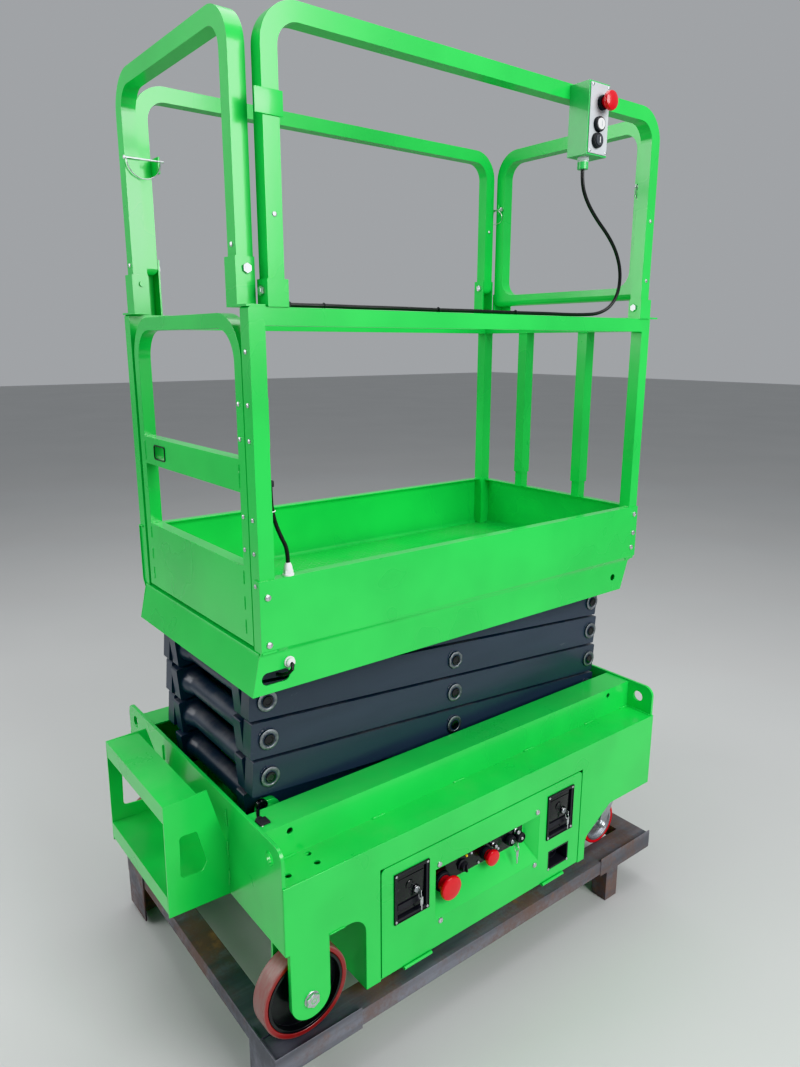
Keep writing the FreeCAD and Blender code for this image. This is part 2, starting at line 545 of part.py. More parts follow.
def sketch_on(body, name, plane, offset, outlines, circles):
    """A sketch whose corners and circles are all dimensioned from the origin by formulas."""
    sketch = body.newObject("Sketcher::SketchObject", name)
    origin_plane = [item for item in body.Origin.OriginFeatures if item.Role == PLANES[plane]][0]
    sketch.AttachmentSupport = (origin_plane, [""])
    sketch.MapMode = "FlatFace"
    sketch.setExpression("AttachmentOffset.Base.z", bound(offset))
    for outline in outlines:
        count = len(outline)
        first = sketch.GeometryCount
        corners = [FreeCAD.Vector(number(across), number(up), 0) for across, up in outline]
        lines = [Part.LineSegment(corners[i], corners[(i + 1) % count]) for i in range(count)]
        sketch.addGeometry(lines, False)
        joints = []
        for i in range(count):
            joints.append(Sketcher.Constraint("Coincident", first + i, 2, first + (i + 1) % count, 1))
        sketch.addConstraint(joints)
        for i, (across, up) in enumerate(outline):
            places = (("DistanceX", across, corners[i].x), ("DistanceY", up, corners[i].y))
            for kind, formula, place in places:
                index = sketch.addConstraint(Sketcher.Constraint(kind, -1, 1, first + i, 1, place))
                sketch.setExpression(f"Constraints[{index}]", bound(formula))
    for across, up, radius in circles:
        centre = FreeCAD.Vector(number(across), number(up), 0)
        circle = sketch.addGeometry(Part.Circle(centre, FreeCAD.Vector(0, 0, 1), number(radius)), False)
        rules = (
            (Sketcher.Constraint("Radius", circle, number(radius)), radius),
            (Sketcher.Constraint("DistanceX", -1, 1, circle, 3, centre.x), across),
            (Sketcher.Constraint("DistanceY", -1, 1, circle, 3, centre.y), up),
        )
        for rule, formula in rules:
            sketch.setExpression(f"Constraints[{sketch.addConstraint(rule)}]", bound(formula))
    return sketch


def edges_at(shape, plane, across, up):
    """Names of the edges that stand square to the plane at one of its points."""
    names = []
    for index, edge in enumerate(shape.Edges, start=1):
        ends = [vertex.Point for vertex in edge.Vertexes]
        if len(ends) != 2:
            continue
        flat = {
            "XY": [(p.x, p.y) for p in ends],
            "XZ": [(p.x, p.z) for p in ends],
            "YZ": [(p.y, p.z) for p in ends],
        }
        if all(abs(a - across) < 1e-4 and abs(b - up) < 1e-4 for a, b in flat[plane]):
            names.append(f"Edge{index}")
    return names


def plate(name, plane, start, end, outlines, circles=(), rounds=()):
    """A flat piece: outlines and circles in a plane, padded from start to end across it.

    rounds holds (radius, [(across, up), ...]) for the corners to round off.
    """
    body = doc.addObject("PartDesign::Body", name)
    offset = f"-({start})" if plane == "XZ" else f"({start})"
    sketch = sketch_on(body, name + "_outline", plane, offset, outlines, circles)
    pad = body.newObject("PartDesign::Pad", name + "_pad")
    pad.Profile = sketch
    pad.setExpression("Length", bound(f"({end}) - ({start})"))
    pad.Reversed = plane == "XZ"
    doc.recompute()
    base = pad
    for turn, (radius, places) in enumerate(rounds):
        picked = []
        for across, up in places:
            picked += edges_at(base.Shape, plane, number(across), number(up))
        fillet = body.newObject("PartDesign::Fillet", f"{name}_round{turn}")
        fillet.Base = (base, picked)
        fillet.setExpression("Radius", bound(radius))
        body.Tip = fillet
        doc.recompute()
        base = fillet
    return body


def round_ends(body, name, radius, picks):
    """Round the edges of a body whose ends lie at the given points."""
    base = body.Tip
    names = []
    for index, edge in enumerate(base.Shape.Edges, start=1):
        ends = [vertex.Point for vertex in edge.Vertexes]
        if len(ends) == 2 and all(picks(point) for point in ends):
            names.append(f"Edge{index}")
    fillet = body.newObject("PartDesign::Fillet", name)
    fillet.Base = (base, names)
    fillet.setExpression("Radius", bound(radius))
    body.Tip = fillet
    doc.recompute()
    return body


def ordered(sign, *formulas):
    """Formulas for one side of the machine, mirrored by the sign, with the lower value first."""
    return sorted((f"{sign}({formula})" for formula in formulas), key=number)


SIDES = (("near", "-"), ("far", ""))


def work_stand():
    """Low welded stand of square rails, with corner lips that keep the wheels on it."""
    outer = "stand_half - sheet"
    rail_low, rail_top = "wheel_plane - rail_height", "wheel_plane - seat_gap"
    front_end = "stand_front - leg_plate"
    pieces = []
    for side, sign in SIDES:
        low, high = ordered(sign, outer, f"{outer} - rail_width")
        pieces.append(box(f"rail_{side}", ("stand_front", low, rail_low), ("stand_rear", high, rail_top)))
        low, high = ordered(sign, "stand_half", outer)
        for end, start, stop in (("front", front_end, f"{front_end} + lip_length - leg_inset"),
                                 ("rear", "stand_rear - lip_length", "stand_rear")):
            pieces.append(box(f"lip_{side}_{end}", (start, low, "lip_top - lip_height"),
                              (stop, high, "lip_top")))
        low, high = ordered(sign, f"{outer} - leg_inset", f"{outer} - leg_inset - leg_width")
        for end, start in (("rear", "stand_rear - leg_setback"), ("front", "stand_front")):
            pieces.append(box(f"leg_{side}_{end}", (start, low, "0"),
                              (f"{start} + leg_width", high, rail_low)))
        low, high = ordered(sign, outer, f"{outer} - leg_plate_width")
        pieces.append(box(f"leg_plate_{side}", (front_end, low, "leg_plate_low"),
                          ("stand_front", high, "lip_top")))
    half = f"({outer} - rail_width)"
    for end, start in (("front", "stand_front"), ("rear", "stand_rear - cross_width")):
        pieces.append(box(f"rail_{end}", (start, f"-{half}", rail_low),
                          (f"{start} + cross_width", half, rail_top)))
    keep(fuse("stand", pieces), "stand")


def chassis():
    """Tub, belly box, end plates and side skins of the lower frame."""
    inner = "wall_half - skin"
    half = "base_half - skin"
    tub_outline = [
        (f"-({half})", "ledge_top - skin"), ("-wall_half", "ledge_top - skin"),
        ("-wall_half", "tub_floor - skin"), ("wall_half", "tub_floor - skin"),
        ("wall_half", "ledge_top - skin"), (half, "ledge_top - skin"),
        (half, "ledge_top"), ("wall_half", "ledge_top"),
        ("wall_half", "flange_top"), ("flange_edge", "flange_top"),
        ("flange_edge", "flange_top - skin"), (inner, "flange_top - skin"), (inner, "tub_floor"),
        (f"-({inner})", "tub_floor"), (f"-({inner})", "flange_top - skin"),
        ("-flange_edge", "flange_top - skin"), ("-flange_edge", "flange_top"),
        ("-wall_half", "flange_top"), ("-wall_half", "ledge_top"),
        (f"-({half})", "ledge_top"),
    ]
    blank = plate("tub", "YZ", "base_front + end_plate", "base_rear - end_plate", [tub_outline])
    holes = []
    for side, sign in SIDES:
        low, high = ordered(sign, "wall_half + 1", "wall_half - skin - 1")
        for end, place in (("front", "base_front + wall_hole_front"), ("rear", "base_rear - wall_hole_rear")):
            holes.append(rod(f"wall_hole_{side}_{end}", "y", (place, "flange_top - wall_hole_drop"),
                             "drain_hole", low, high))
        for tag, place, inset in (("front", "ledge_hole_front", "ledge_hole_out"),
                                  ("outer", "ledge_hole_rear", "ledge_hole_out"),
                                  ("inner", "ledge_hole_rear", "ledge_hole_in")):
            centre = (f"base_front + {place}", f"{sign}(base_half - {inset})")
            holes.append(rod(f"ledge_hole_{side}_{tag}", "z", centre, "drain_hole", "ledge_top - skin - 1",
                             "ledge_top + 1"))
    tub = cut("tub_drilled", blank, holes)

    belly_outline = [
        ("belly_front", "tub_floor - skin"), ("belly_front", "belly_low"), ("belly_rear", "belly_low"),
        ("belly_rear", "tub_floor - skin"), ("belly_rear - skin", "tub_floor - skin"),
        ("belly_rear - skin", "belly_low + skin"), ("belly_front + skin", "belly_low + skin"),
        ("belly_front + skin", "tub_floor - skin"),
    ]
    shell = plate("belly_shell", "XZ", f"-({half})", half, [belly_outline])
    wall = box("belly_wall", ("belly_front + skin", "-skin/2", "belly_low + skin"),
               ("belly_rear - skin", "skin/2", "tub_floor - skin"))

    rear_outline = [
        ("belly_rear", "rear_low"), ("base_rear - end_plate", "rear_low"),
        ("base_rear - end_plate", "rear_low + skin"), ("belly_rear", "rear_low + skin"),
    ]
    caster_deck = plate("caster_deck", "XZ", f"-({half})", half, [rear_outline])
    keep(fuse("base_frame", [tub, shell, wall, caster_deck]), "base_frame")

    plates = []
    for label, start, stop, low in (
        ("end_plate_front", "base_front", "base_front + end_plate", "front_low"),
        ("end_plate_rear", "base_rear - end_plate", "base_rear", "rear_low"),
    ):
        outline = [(f"-({half})", low), (half, low), (half, "end_top"), (f"-({half})", "end_top")]
        holes = [("lug_hole_y", "lug_hole_z", "lug_hole"), ("-lug_hole_y", "lug_hole_z", "lug_hole")]
        rounds = [("end_corner", [(half, "end_top"), (f"-({half})", "end_top")])]
        plates.append(plate(label, "YZ", start, stop, [outline], holes, rounds))
    keep(fuse("end_plates", plates), "end_plates")

    fork_low = "wheel_plane + wheel_radius - fork_half"
    skin_outline = [
        ("base_front", "ledge_top"), ("base_front", "front_low"), ("fork_x - fork_half", "front_low"),
        ("fork_x - fork_half", fork_low), ("fork_x + fork_half", fork_low),
        ("fork_x + fork_half", "front_low"), ("belly_front", "front_low"), ("belly_front", "belly_low"),
        ("door_front - door_gap", "belly_low"), ("door_front - door_gap", "door_top + door_gap"),
        ("door_rear + door_gap", "door_top + door_gap"), ("door_rear + door_gap", "belly_low"),
        ("belly_rear", "belly_low"), ("belly_rear", "belly_low + bay_step"),
        ("belly_rear + bay_slope", "rear_low"), ("base_rear", "rear_low"), ("base_rear", "ledge_top"),
    ]
    skin_rounds = [
        ("fork_half - seat_gap", [("fork_x - fork_half", fork_low), ("fork_x + fork_half", fork_low)]),
        ("belly_round", [("belly_front", "front_low")]),
        ("bay_round", [("belly_rear", "belly_low + bay_step")]),
    ]
    axle_hole = [("fork_x", "wheel_plane + wheel_radius", "axle_radius + seat_gap")]
    side_skin = plate("side_skin", "XZ", "-base_half", f"-({half})", [skin_outline], axle_hole, skin_rounds)
    keep(both_sides("side_skins", side_skin), "side_skins")


def front_forks():
    """Fork plates and axle bolts of the two fixed front wheels."""
    low = "wheel_plane + wheel_radius - fork_half"
    top = "ledge_top - skin"
    axle = ("fork_x", "wheel_plane + wheel_radius")
    outer_face = "base_half - skin"
    inner_face = "wheel_y - wheel_width/2 - fork_gap"
    pieces = []
    for name, start, stop in (
        ("fork_outer", f"-({outer_face})", f"-({outer_face} - fork_plate)"),
        ("fork_inner", f"-({inner_face})", f"-({inner_face} - fork_plate)"),
    ):
        outline = [("fork_x - fork_half", low), ("fork_x + fork_half", low), ("fork_x + fork_half", top),
                   ("fork_x - fork_half", top)]
        rounds = [("fork_half - seat_gap", [("fork_x - fork_half", low), ("fork_x + fork_half", low)])]
        pieces.append(plate(name, "XZ", start, stop, [outline], (), rounds))
    for name, radius, start, stop in (
        ("front_axle", "axle_radius", "base_half + seat_gap", f"{inner_face} - fork_plate - pin_stub"),
        ("axle_head", "axle_radius + head_rim", "base_half + head_reach", "base_half"),
        ("spacer_out", "axle_radius + spacer_rim", f"{outer_face} - fork_plate",
         "wheel_y + wheel_width/2 + seat_gap"),
        ("spacer_in", "axle_radius + spacer_rim", "wheel_y - wheel_width/2 - seat_gap", inner_face),
    ):
        pieces.append(rod(name, "y", axle, radius, f"-({start})", f"-({stop})"))
    keep(both_sides("front_forks", fuse("fork_near", pieces)), "front_forks")


def wheel(name, centre_x, centre_y, radius, width, rim, bore, boss):
    """Tread and hub of one wheel whose axle lies across the machine."""
    axle = (centre_x, f"wheel_plane + {radius}")
    half = f"({width})/2"
    tread = cut(f"tread_{name}_ring",
                rod(f"tread_{name}_disc", "y", axle, radius, f"{centre_y} - {half}", f"{centre_y} + {half}"),
                [rod(f"tread_{name}_bore", "y", axle, rim, f"{centre_y} - {half} - 1",
                     f"{centre_y} + {half} + 1")])
    keep(tread, f"tread_{name}")
    disc = rod(f"hub_{name}_disc", "y", axle, rim, f"{centre_y} - {half}", f"{centre_y} + {half}")
    dishes = []
    for side, sign in (("in", "+"), ("out", "-")):
        low, high = sorted((f"{centre_y} {sign} {half} {sign} 1", f"{centre_y} {sign} web_half"), key=number)
        ring = rod(f"dish_{name}_{side}", "y", axle, f"{rim} - rim_wall", low, high)
        core = rod(f"boss_{name}_{side}", "y", axle, boss, low, high)
        dishes.append(cut(f"dish_{name}_{side}_cut", ring, [core]))
    dishes.append(rod(f"bore_{name}", "y", axle, f"{bore} + running_gap", f"{centre_y} - {half} - 1",
                      f"{centre_y} + {half} + 1"))
    keep(cut(f"hub_{name}", disc, dishes), f"hub_{name}")


def wheels():
    """Front wheels and the two swivel casters."""
    axle_x, axle_z = "caster_x - caster_trail", "wheel_plane + caster_radius"
    crown_top = "rear_low - crown_sheet - race_height"
    crown_low = f"{crown_top} - crown_sheet"
    mounts = []
    for side, sign in SIDES:
        wheel(f"front_{side}", "fork_x", f"{sign}wheel_y", "wheel_radius", "wheel_width",
              "(wheel_radius - tread)", "axle_radius", "axle_radius + axle_boss")
        middle = f"{sign}caster_y"
        wheel(f"caster_{side}", axle_x, middle, "caster_radius", "caster_width",
              "(caster_radius - caster_tread)", "caster_axle", "caster_boss")
        pieces = []
        for cheek, way in (("left", "-"), ("right", "+")):
            face = f"{middle} {way} (caster_width/2 + caster_gap)"
            low, high = sorted((face, f"{face} {way} caster_cheek"), key=number)
            outline = [
                (f"{axle_x} - caster_eye", f"{axle_z} - caster_eye"),
                (f"{axle_x} + caster_eye", f"{axle_z} - caster_eye"),
                ("caster_x + crown_half", crown_low), ("caster_x - crown_half", crown_low),
            ]
            rounds = [("caster_eye - 2", outline[:2])]
            pieces.append(plate(f"cheek_{side}_{cheek}", "XZ", low, high, [outline], (), rounds))
            low, high = sorted((f"{middle} {way} (caster_width/2 + seat_gap)", face), key=number)
            pieces.append(rod(f"spacer_{side}_{cheek}", "y", (axle_x, axle_z), "caster_eye - 2", low, high))
        crown_half_y = "(caster_width/2 + caster_gap + caster_cheek)"
        pieces.append(box(f"crown_{side}", ("caster_x - crown_half", f"{middle} - {crown_half_y}", crown_low),
                          ("caster_x + crown_half", f"{middle} + {crown_half_y}", crown_top)))
        pieces.append(rod(f"race_{side}", "z", ("caster_x", middle), "race_radius", crown_top,
                          "rear_low - crown_sheet - seat_gap"))
        pieces.append(rod(f"axle_{side}", "y", (axle_x, axle_z), "caster_axle",
                          f"{middle} - {crown_half_y} - pin_stub", f"{middle} + {crown_half_y} + pin_stub"))
        keep(fuse(f"caster_fork_{side}", pieces), f"caster_fork_{side}")
        mounts.append(box(f"caster_plate_{side}",
                          ("caster_x - mount_half_x", f"{middle} - mount_half_y", "rear_low - crown_sheet"),
                          ("caster_x + mount_half_x", f"{middle} + mount_half_y", "rear_low")))
    keep(fuse("caster_plates", mounts), "caster_plates")


def door_openings(latches):
    """Outlines of the latch recesses, the charger socket and the control panel's recess in a door."""
    windows = []
    for place, start, stop in latches:
        windows.append([(start, "latch_foot"), (stop, "latch_foot"),
                        (stop, "latch_top"), (start, "latch_top")])
    left, right = "door_rear - socket_inset - socket_width", "door_rear - socket_inset"
    low, high = "door_low + socket_rise", "door_low + socket_rise + socket_height"
    socket = [(left, low), (right, low), (right, high), (left, high)]
    recess = [("panel_start", "panel_foot"), ("panel_end", "panel_foot"), ("panel_end", "panel_high"),
              ("panel_start", "panel_high")]
    return windows, [socket, recess]


def latch(name, start, stop):
    """Recessed paddle latch: an open cup with the paddle across its foot."""
    back = "base_half - skin - latch_depth"
    pan = box(f"{name}_pan", (start, "-(base_half + skin/2)", "latch_foot"),
              (stop, f"-({back})", "latch_top"))
    hollow = box(f"{name}_hollow", (f"{start} + latch_rim", "-(base_half + skin)", "latch_foot + latch_rim"),
                 (f"{stop} - latch_rim", f"-({back} + panel_sheet)", "latch_top - latch_rim"))
    paddle = box(f"{name}_paddle", (f"{start} + latch_rim + paddle_gap", "-(base_half - skin)",
                                    "latch_foot + latch_rim + paddle_gap"),
                 (f"{stop} - latch_rim - paddle_gap", f"-({back} + skin/2)",
                  "latch_foot + latch_rim + paddle_gap + paddle_height"))
    return fuse(name, [cut(f"{name}_cup", pan, [hollow]), paddle])


def control_panel():
    """Folded tray behind the near door's recess with its stop buttons, key switch and meter."""
    face = "base_half - panel_depth"
    tray_outline = [
        ("-base_half", "panel_foot"), (f"-({face})", "panel_foot + panel_slope"),
        (f"-({face})", "panel_high"), (f"-({face} - panel_sheet)", "panel_high"),
        (f"-({face} - panel_sheet)", "panel_foot + panel_slope - 2"),
        ("-(base_half - panel_sheet)", "panel_foot"),
    ]
    pieces = [plate("control_tray", "YZ", "panel_start", "panel_end", [tray_outline])]
    buttons = (
        ("stop_big", "0.115", "stop"),
        ("stop_small", "0.485", "second"),
        ("key_switch", "0.63", "switch"),
        ("meter", "0.76", "meter"),
    )
    for name, share, size in buttons:
        place = (f"panel_start + {share} * (panel_end - panel_start)", f"panel_high - {size}_drop")
        pieces.append(rod(f"{name}_stem", "y", place, f"{size}_radius - stem_step", "-(base_half + 2)",
                          f"-({face})"))
        pieces.append(rod(f"{name}_cap", "y", place, f"{size}_radius", f"-(base_half + {size}_reach)",
                          "-(base_half - 6)"))
    keep(fuse("control_panel", pieces), "control_panel")


def service_doors():
    """Bottom-hinged side doors with their latches, and the control panel on the near one."""
    corner = [("door_front", "door_top"), ("door_rear", "door_top")]
    outline = [("door_front", "door_low"), ("door_rear", "door_low"), ("door_rear", "door_top"),
               ("door_front", "door_top")]
    latches = [
        ("front", "door_front + latch_inset", "door_front + latch_inset + latch_width"),
        ("rear", "door_rear - latch_inset - latch_width", "door_rear - latch_inset"),
    ]
    windows, panel_windows = door_openings(latches)
    for side, cuts in (("near", windows + panel_windows), ("far", windows)):
        door = plate(f"door_{side}_sheet", "XZ", "-base_half", "-(base_half - skin)", [outline] + cuts, (),
                     [("door_corner", corner)])
        pans = [latch(f"latch_{side}_{place}", start, stop) for place, start, stop in latches]
        if side == "far":
            mirrored(door, "door_far")
            mirrored(fuse("door_plain_fittings", pans), "door_far_fittings")
            continue
        keep(door, "door_near")
        left, right = "door_rear - socket_inset - socket_width", "door_rear - socket_inset"
        low, high = "door_low + socket_rise", "door_low + socket_rise + socket_height"
        back = "base_half - skin - socket_depth"
        cup = box("socket_pan", (left, "-base_half", low), (right, f"-({back})", high))
        hollow = box("socket_hollow", (f"{left} + socket_rim", "-(base_half + 1)", f"{low} + socket_rim"),
                     (f"{right} - socket_rim", f"-({back} + skin)", f"{high} - socket_rim"))
        pans.append(cut("socket_cup", cup, [hollow]))
        keep(fuse("door_near_fittings", pans), "door_near_fittings")
        control_panel()
    hinges = []
    for side, sign in SIDES:
        for place, start in (("front", "door_front + hinge_inset"),
                             ("rear", "door_rear - hinge_inset - hinge_length")):
            hinges.append(rod(f"hinge_{side}_{place}", "x",
                              (f"{sign}(base_half + hinge_out)", "belly_low + hinge_rise"), "hinge_pin",
                              start, f"{start} + hinge_length"))
            low, high = ordered(sign, "base_half + hinge_out", "base_half - leaf_depth")
            hinges.append(box(f"leaf_{side}_{place}", (start, low, "belly_low - panel_sheet"),
                              (f"{start} + hinge_length", high, "belly_low")))
    keep(fuse("door_hinges", hinges), "door_hinges")


def inner_masses():
    """Battery on the far side and pump unit on the near side, as plain blocks at their real places."""
    floor = "belly_low + skin"
    start, side = "belly_front + battery_setback", "skin/2 + battery_gap"
    battery = box("battery", (start, side, floor),
                  (f"{start} + battery_length", f"{side} + battery_width", f"{floor} + battery_height"))
    keep(battery, "battery")
    tank_end = "belly_rear - tank_setback"
    joint = f"{tank_end} - tank_length"
    middle = "tank_side + tank_width/2"
    tank = box("pump_tank", (joint, "-(tank_side + tank_width)", floor),
               (tank_end, "-tank_side", f"{floor} + tank_height"))
    motor = rod("pump_motor", "x", (f"-({middle})", f"{floor} + motor_rise"), "motor_radius",
                f"{joint} - motor_length", joint)
    foot = box("pump_foot", (f"{joint} - motor_length + foot_height", f"-({middle} + foot_width/2)", floor),
               (joint, f"-({middle} - foot_width/2)", f"{floor} + foot_height"))
    keep(fuse("pump_unit", [tank, motor, foot]), "pump_unit")


# Corners of the hand hole in the entry step's side plates, behind the step's front and above its foot.
STEP_HOLE = [(33, 182), (71, 181), (90, 101), (79, 82), (30, 86)]


def entry_step():
    """Two-tread step bolted to the front end plate."""
    shoulder = "step_top - step_shoulder"
    outline = [
        ("step_front + step_sheet", "step_top"), ("base_front - step_lip", "step_top + step_sheet"),
        ("base_front - step_notch", shoulder), ("base_front", f"{shoulder} - 2 * step_notch"),
        ("base_front", "step_low"), ("step_front", "step_low + step_notch"),
    ]
    hole = [(f"step_front + {back}", f"step_low + {up}") for back, up in STEP_HOLE]
    rounds = [("8", hole[:2]), ("10", hole[2:])]
    inside = "step_half - step_plate"
    pieces = []
    for side, start, stop in (("near", "-step_half", f"-({inside})"), ("far", inside, "step_half")):
        pieces.append(plate(f"step_side_{side}", "XZ", start, stop, [outline, hole], (), rounds))
    for name, face, top, rear in (
        ("tread_upper", "step_front + step_sheet", "step_top", "base_front - cross_width"),
        ("tread_lower", "step_front", "step_low + tread_rise", "base_front"),
    ):
        profile = [
            (face, top), (face, f"{top} - step_lip"), (f"{face} + step_sheet", f"{top} - step_lip"),
            (f"{face} + step_sheet", f"{top} - step_sheet"), (rear, f"{top} - step_sheet"), (rear, top),
        ]
        pieces.append(plate(name, "XZ", f"-({inside})", inside, [profile]))
    keep(fuse("entry_step", pieces), "entry_step")


def cone(name, axis_low, axis_high, radius_low, radius_high):
    """A tapered collar along Y, as long as from one place to another; its caller puts it in place."""
    collar = doc.addObject("Part::Cone", name)
    collar.Placement = FreeCAD.Placement(FreeCAD.Vector(), TURNS["y"])
    collar.setExpression("Radius1", bound(radius_low))
    collar.setExpression("Radius2", bound(radius_high))
    collar.setExpression("Height", bound(f"({axis_high}) - ({axis_low})"))
    return collar


def arm_bar(name, kind, level, low, high):
    """One square-ended arm tube; the two ends under the platform floor are rounded to swing clear of it."""
    front, rear = "-heel", "arm_length + toe"
    foot, top = "-arm_height/2", "arm_height/2"
    outline = [(front, foot), (rear, foot), (rear, top), (front, top)]
    front_round = "heel - seat_gap" if (kind, level) == ("outer", 4) else "arm_corner"
    rear_round = "toe - arm_corner" if (kind, level) == ("inner", 4) else "arm_corner"
    rounds = [(front_round, [outline[0], outline[3]]), (rear_round, [outline[1], outline[2]])]
    return plate(name, "XZ", low, high, [outline], (), rounds)


def outer_fittings(name, level):
    """Shafts at both ends of a pair of outer arms, their retaining rings and the middle pins."""
    pieces = []
    for end, along in (("a", "0"), ("b", "arm_length")):
        reach = "outer_arm_y + pin_stub"
        if level == 1 and end == "b":
            reach = "outer_arm_y + arm_gap + roller_width"
        pieces.append(rod(f"{name}_shaft_{end}", "y", (along, "0"), "pin_radius", f"-({reach})", reach))
        for side, sign in SIDES:
            low, high = ordered(sign, "outer_arm_y", "outer_arm_y + ring_width")
            pieces.append(rod(f"{name}_ring_{side}_{end}", "y", (along, "0"), "pin_radius + ring_rim",
                              low, high))
    for side, sign in SIDES:
        low, high = ordered(sign, "outer_arm_y + pin_stub",
                            "outer_arm_y - 2*arm_width - arm_gap - ring_width")
        pieces.append(rod(f"{name}_pin_{side}", "y", ("arm_length/2", "0"), "pin_radius", low, high))
    return pieces, []


def inner_fittings(name, level):
    """Flared cross tubes of a pair of inner arms and the bores that their pins turn in."""
    inner = "(outer_arm_y - 2*arm_width - arm_gap)"
    pieces = []
    bores = []
    for end, along, gap in (("a", "0", "running_gap"), ("b", "arm_length", "loose_gap")):
        pieces.append(rod(f"{name}_tube_{end}", "y", (along, "0"), "tube_radius", f"-{inner}", inner))
        if level == 4 and end == "b":
            reach = "outer_arm_y + arm_gap + roller_width"
            pieces.append(rod(f"{name}_shaft", "y", (along, "0"), "pin_radius", f"-({reach})", reach))
            continue
        for side, low, high, wide_low, wide_high in (
            ("near", f"-{inner}", f"-({inner} - flare_length)", "flare_radius", "tube_radius"),
            ("far", f"{inner} - flare_length", inner, "tube_radius", "flare_radius"),
        ):
            flare = cone(f"{name}_flare_{side}_{end}", low, high, wide_low, wide_high)
            pieces.append(put(flare, along, low, "0"))
        bores.append(rod(f"{name}_bore_{end}", "y", (along, "0"), f"pin_radius + {gap}", "-outer_arm_y",
                         "outer_arm_y"))
    bores.append(rod(f"{name}_centre", "y", ("arm_length/2", "0"), "pin_radius + running_gap", "-outer_arm_y",
                     "outer_arm_y"))
    return pieces, bores


def rod_ears():
    """Ears on the cross tube of the lowest inner arms, with the two pins that the rod's eye hangs on."""
    pieces = []
    tip = "rod_reach - ear_tip"
    for side, sign in SIDES:
        low, high = ordered(sign, "rod_eye + 1", "rod_eye + 1 + cylinder_plate")
        ear = [(tip, "-ear_tip_half"), ("arm_length", "-ear_root_half"), ("arm_length", "ear_root_half"),
               (tip, "ear_tip_half")]
        rounds = [("ear_round", [ear[0], ear[3]])]
        pieces.append(plate(f"rod_ear_{side}", "XZ", low, high, [ear], (), rounds))
        low, high = ordered(sign, "rod_eye + 1 + cylinder_plate", "rod_eye + 1 + cylinder_plate + pin_end")
        pieces.append(rod(f"rod_pin_{side}", "y", ("rod_reach", "0"), "rod_pin", low, high))
    return pieces


def arm_frame(kind, level):
    """One pair of scissor arms with what is fixed between them, lying level from its front pin.

    kind is inner or outer; level counts the four scissor stages from the bottom.
    """
    name = f"{kind}_arms_{level}"
    outer = "outer_arm_y" if kind == "outer" else "(outer_arm_y - arm_width - arm_gap)"
    pieces = []
    for side, sign in SIDES:
        low, high = ordered(sign, outer, f"{outer} - arm_width")
        pieces.append(arm_bar(f"{name}_{side}_bar", kind, level, low, high))
    fittings, bores = outer_fittings(name, level) if kind == "outer" else inner_fittings(name, level)
    pieces += fittings
    if (kind, level) in (("outer", 1), ("inner", 4)):
        for side, sign in SIDES:
            low, high = ordered(sign, "outer_arm_y + arm_gap", "outer_arm_y + arm_gap + roller_width")
            pieces.append(rod(f"{name}_roller_{side}", "y", ("arm_length", "0"), "roller_radius", low, high))
    if (kind, level) == ("inner", 1):
        pieces += rod_ears()
    frame = fuse(name + "_blank", pieces)
    if bores:
        frame = cut(name, frame, bores)
    slope = -math.degrees(ARM_SLOPE) if kind == "inner" else math.degrees(ARM_SLOPE)
    start_level = level - 1 if kind == "inner" else level
    frame.Placement = FreeCAD.Placement(FreeCAD.Vector(), FreeCAD.Rotation(FreeCAD.Vector(0, 1, 0), slope))
    put(frame, "pivot_x", "0", f"pivot_z + {start_level} * pitch")
    keep(frame, name)


def scissor_mounts():
    """Fixed pivots, lower tracks and the ears of the lift cylinder, all on the tub."""
    pieces = []
    for side, sign in SIDES:
        low, high = ordered(sign, "outer_arm_y - ear_inset", "outer_arm_y - ear_inset - ear_plate")
        top = "pivot_z + pin_radius + ear_rim"
        outline = [("pivot_x - ear_foot", "tub_floor"), ("pivot_x + ear_foot", "tub_floor"),
                   ("pivot_x + pin_radius + ear_rim", top), ("pivot_x - pin_radius - ear_rim", top)]
        rounds = [("pin_radius + ear_rim - 3", outline[2:])]
        pieces.append(plate(f"pivot_ear_{side}", "XZ", low, high, [outline], (), rounds))
        low, high = ordered(sign, "wall_half - skin", "outer_arm_y + arm_gap")
        track_top = "pivot_z - roller_radius - seat_gap"
        pieces.append(box(f"track_{side}", ("track_front", low, f"{track_top} - track_sheet"),
                          ("base_rear - end_plate", high, track_top)))
        low, high = ordered(sign, "eye_half + 2", "eye_half + 2 + cylinder_plate")
        outline = [("cylinder_x - cylinder_foot", "tub_floor"), ("cylinder_x + cylinder_foot", "tub_floor"),
                   ("cylinder_x + 2 * cylinder_pin", "cylinder_z + 2 * cylinder_pin"),
                   ("cylinder_x - 2 * cylinder_pin", "cylinder_z + 2 * cylinder_pin")]
        rounds = [("2 * cylinder_pin - 4", outline[2:])]
        pieces.append(plate(f"cylinder_ear_{side}", "XZ", low, high, [outline], (), rounds))
    pieces.append(rod("pivot_shaft", "y", ("pivot_x", "pivot_z"), "pin_radius", "-(outer_arm_y - pin_stub)",
                      "outer_arm_y - pin_stub"))
    reach = "eye_half + 2 + cylinder_plate + pin_end"
    pieces.append(rod("cylinder_pin", "y", ("cylinder_x", "cylinder_z"), "cylinder_pin",
                      f"-({reach})", reach))
    keep(fuse("scissor_mounts", pieces), "scissor_mounts")


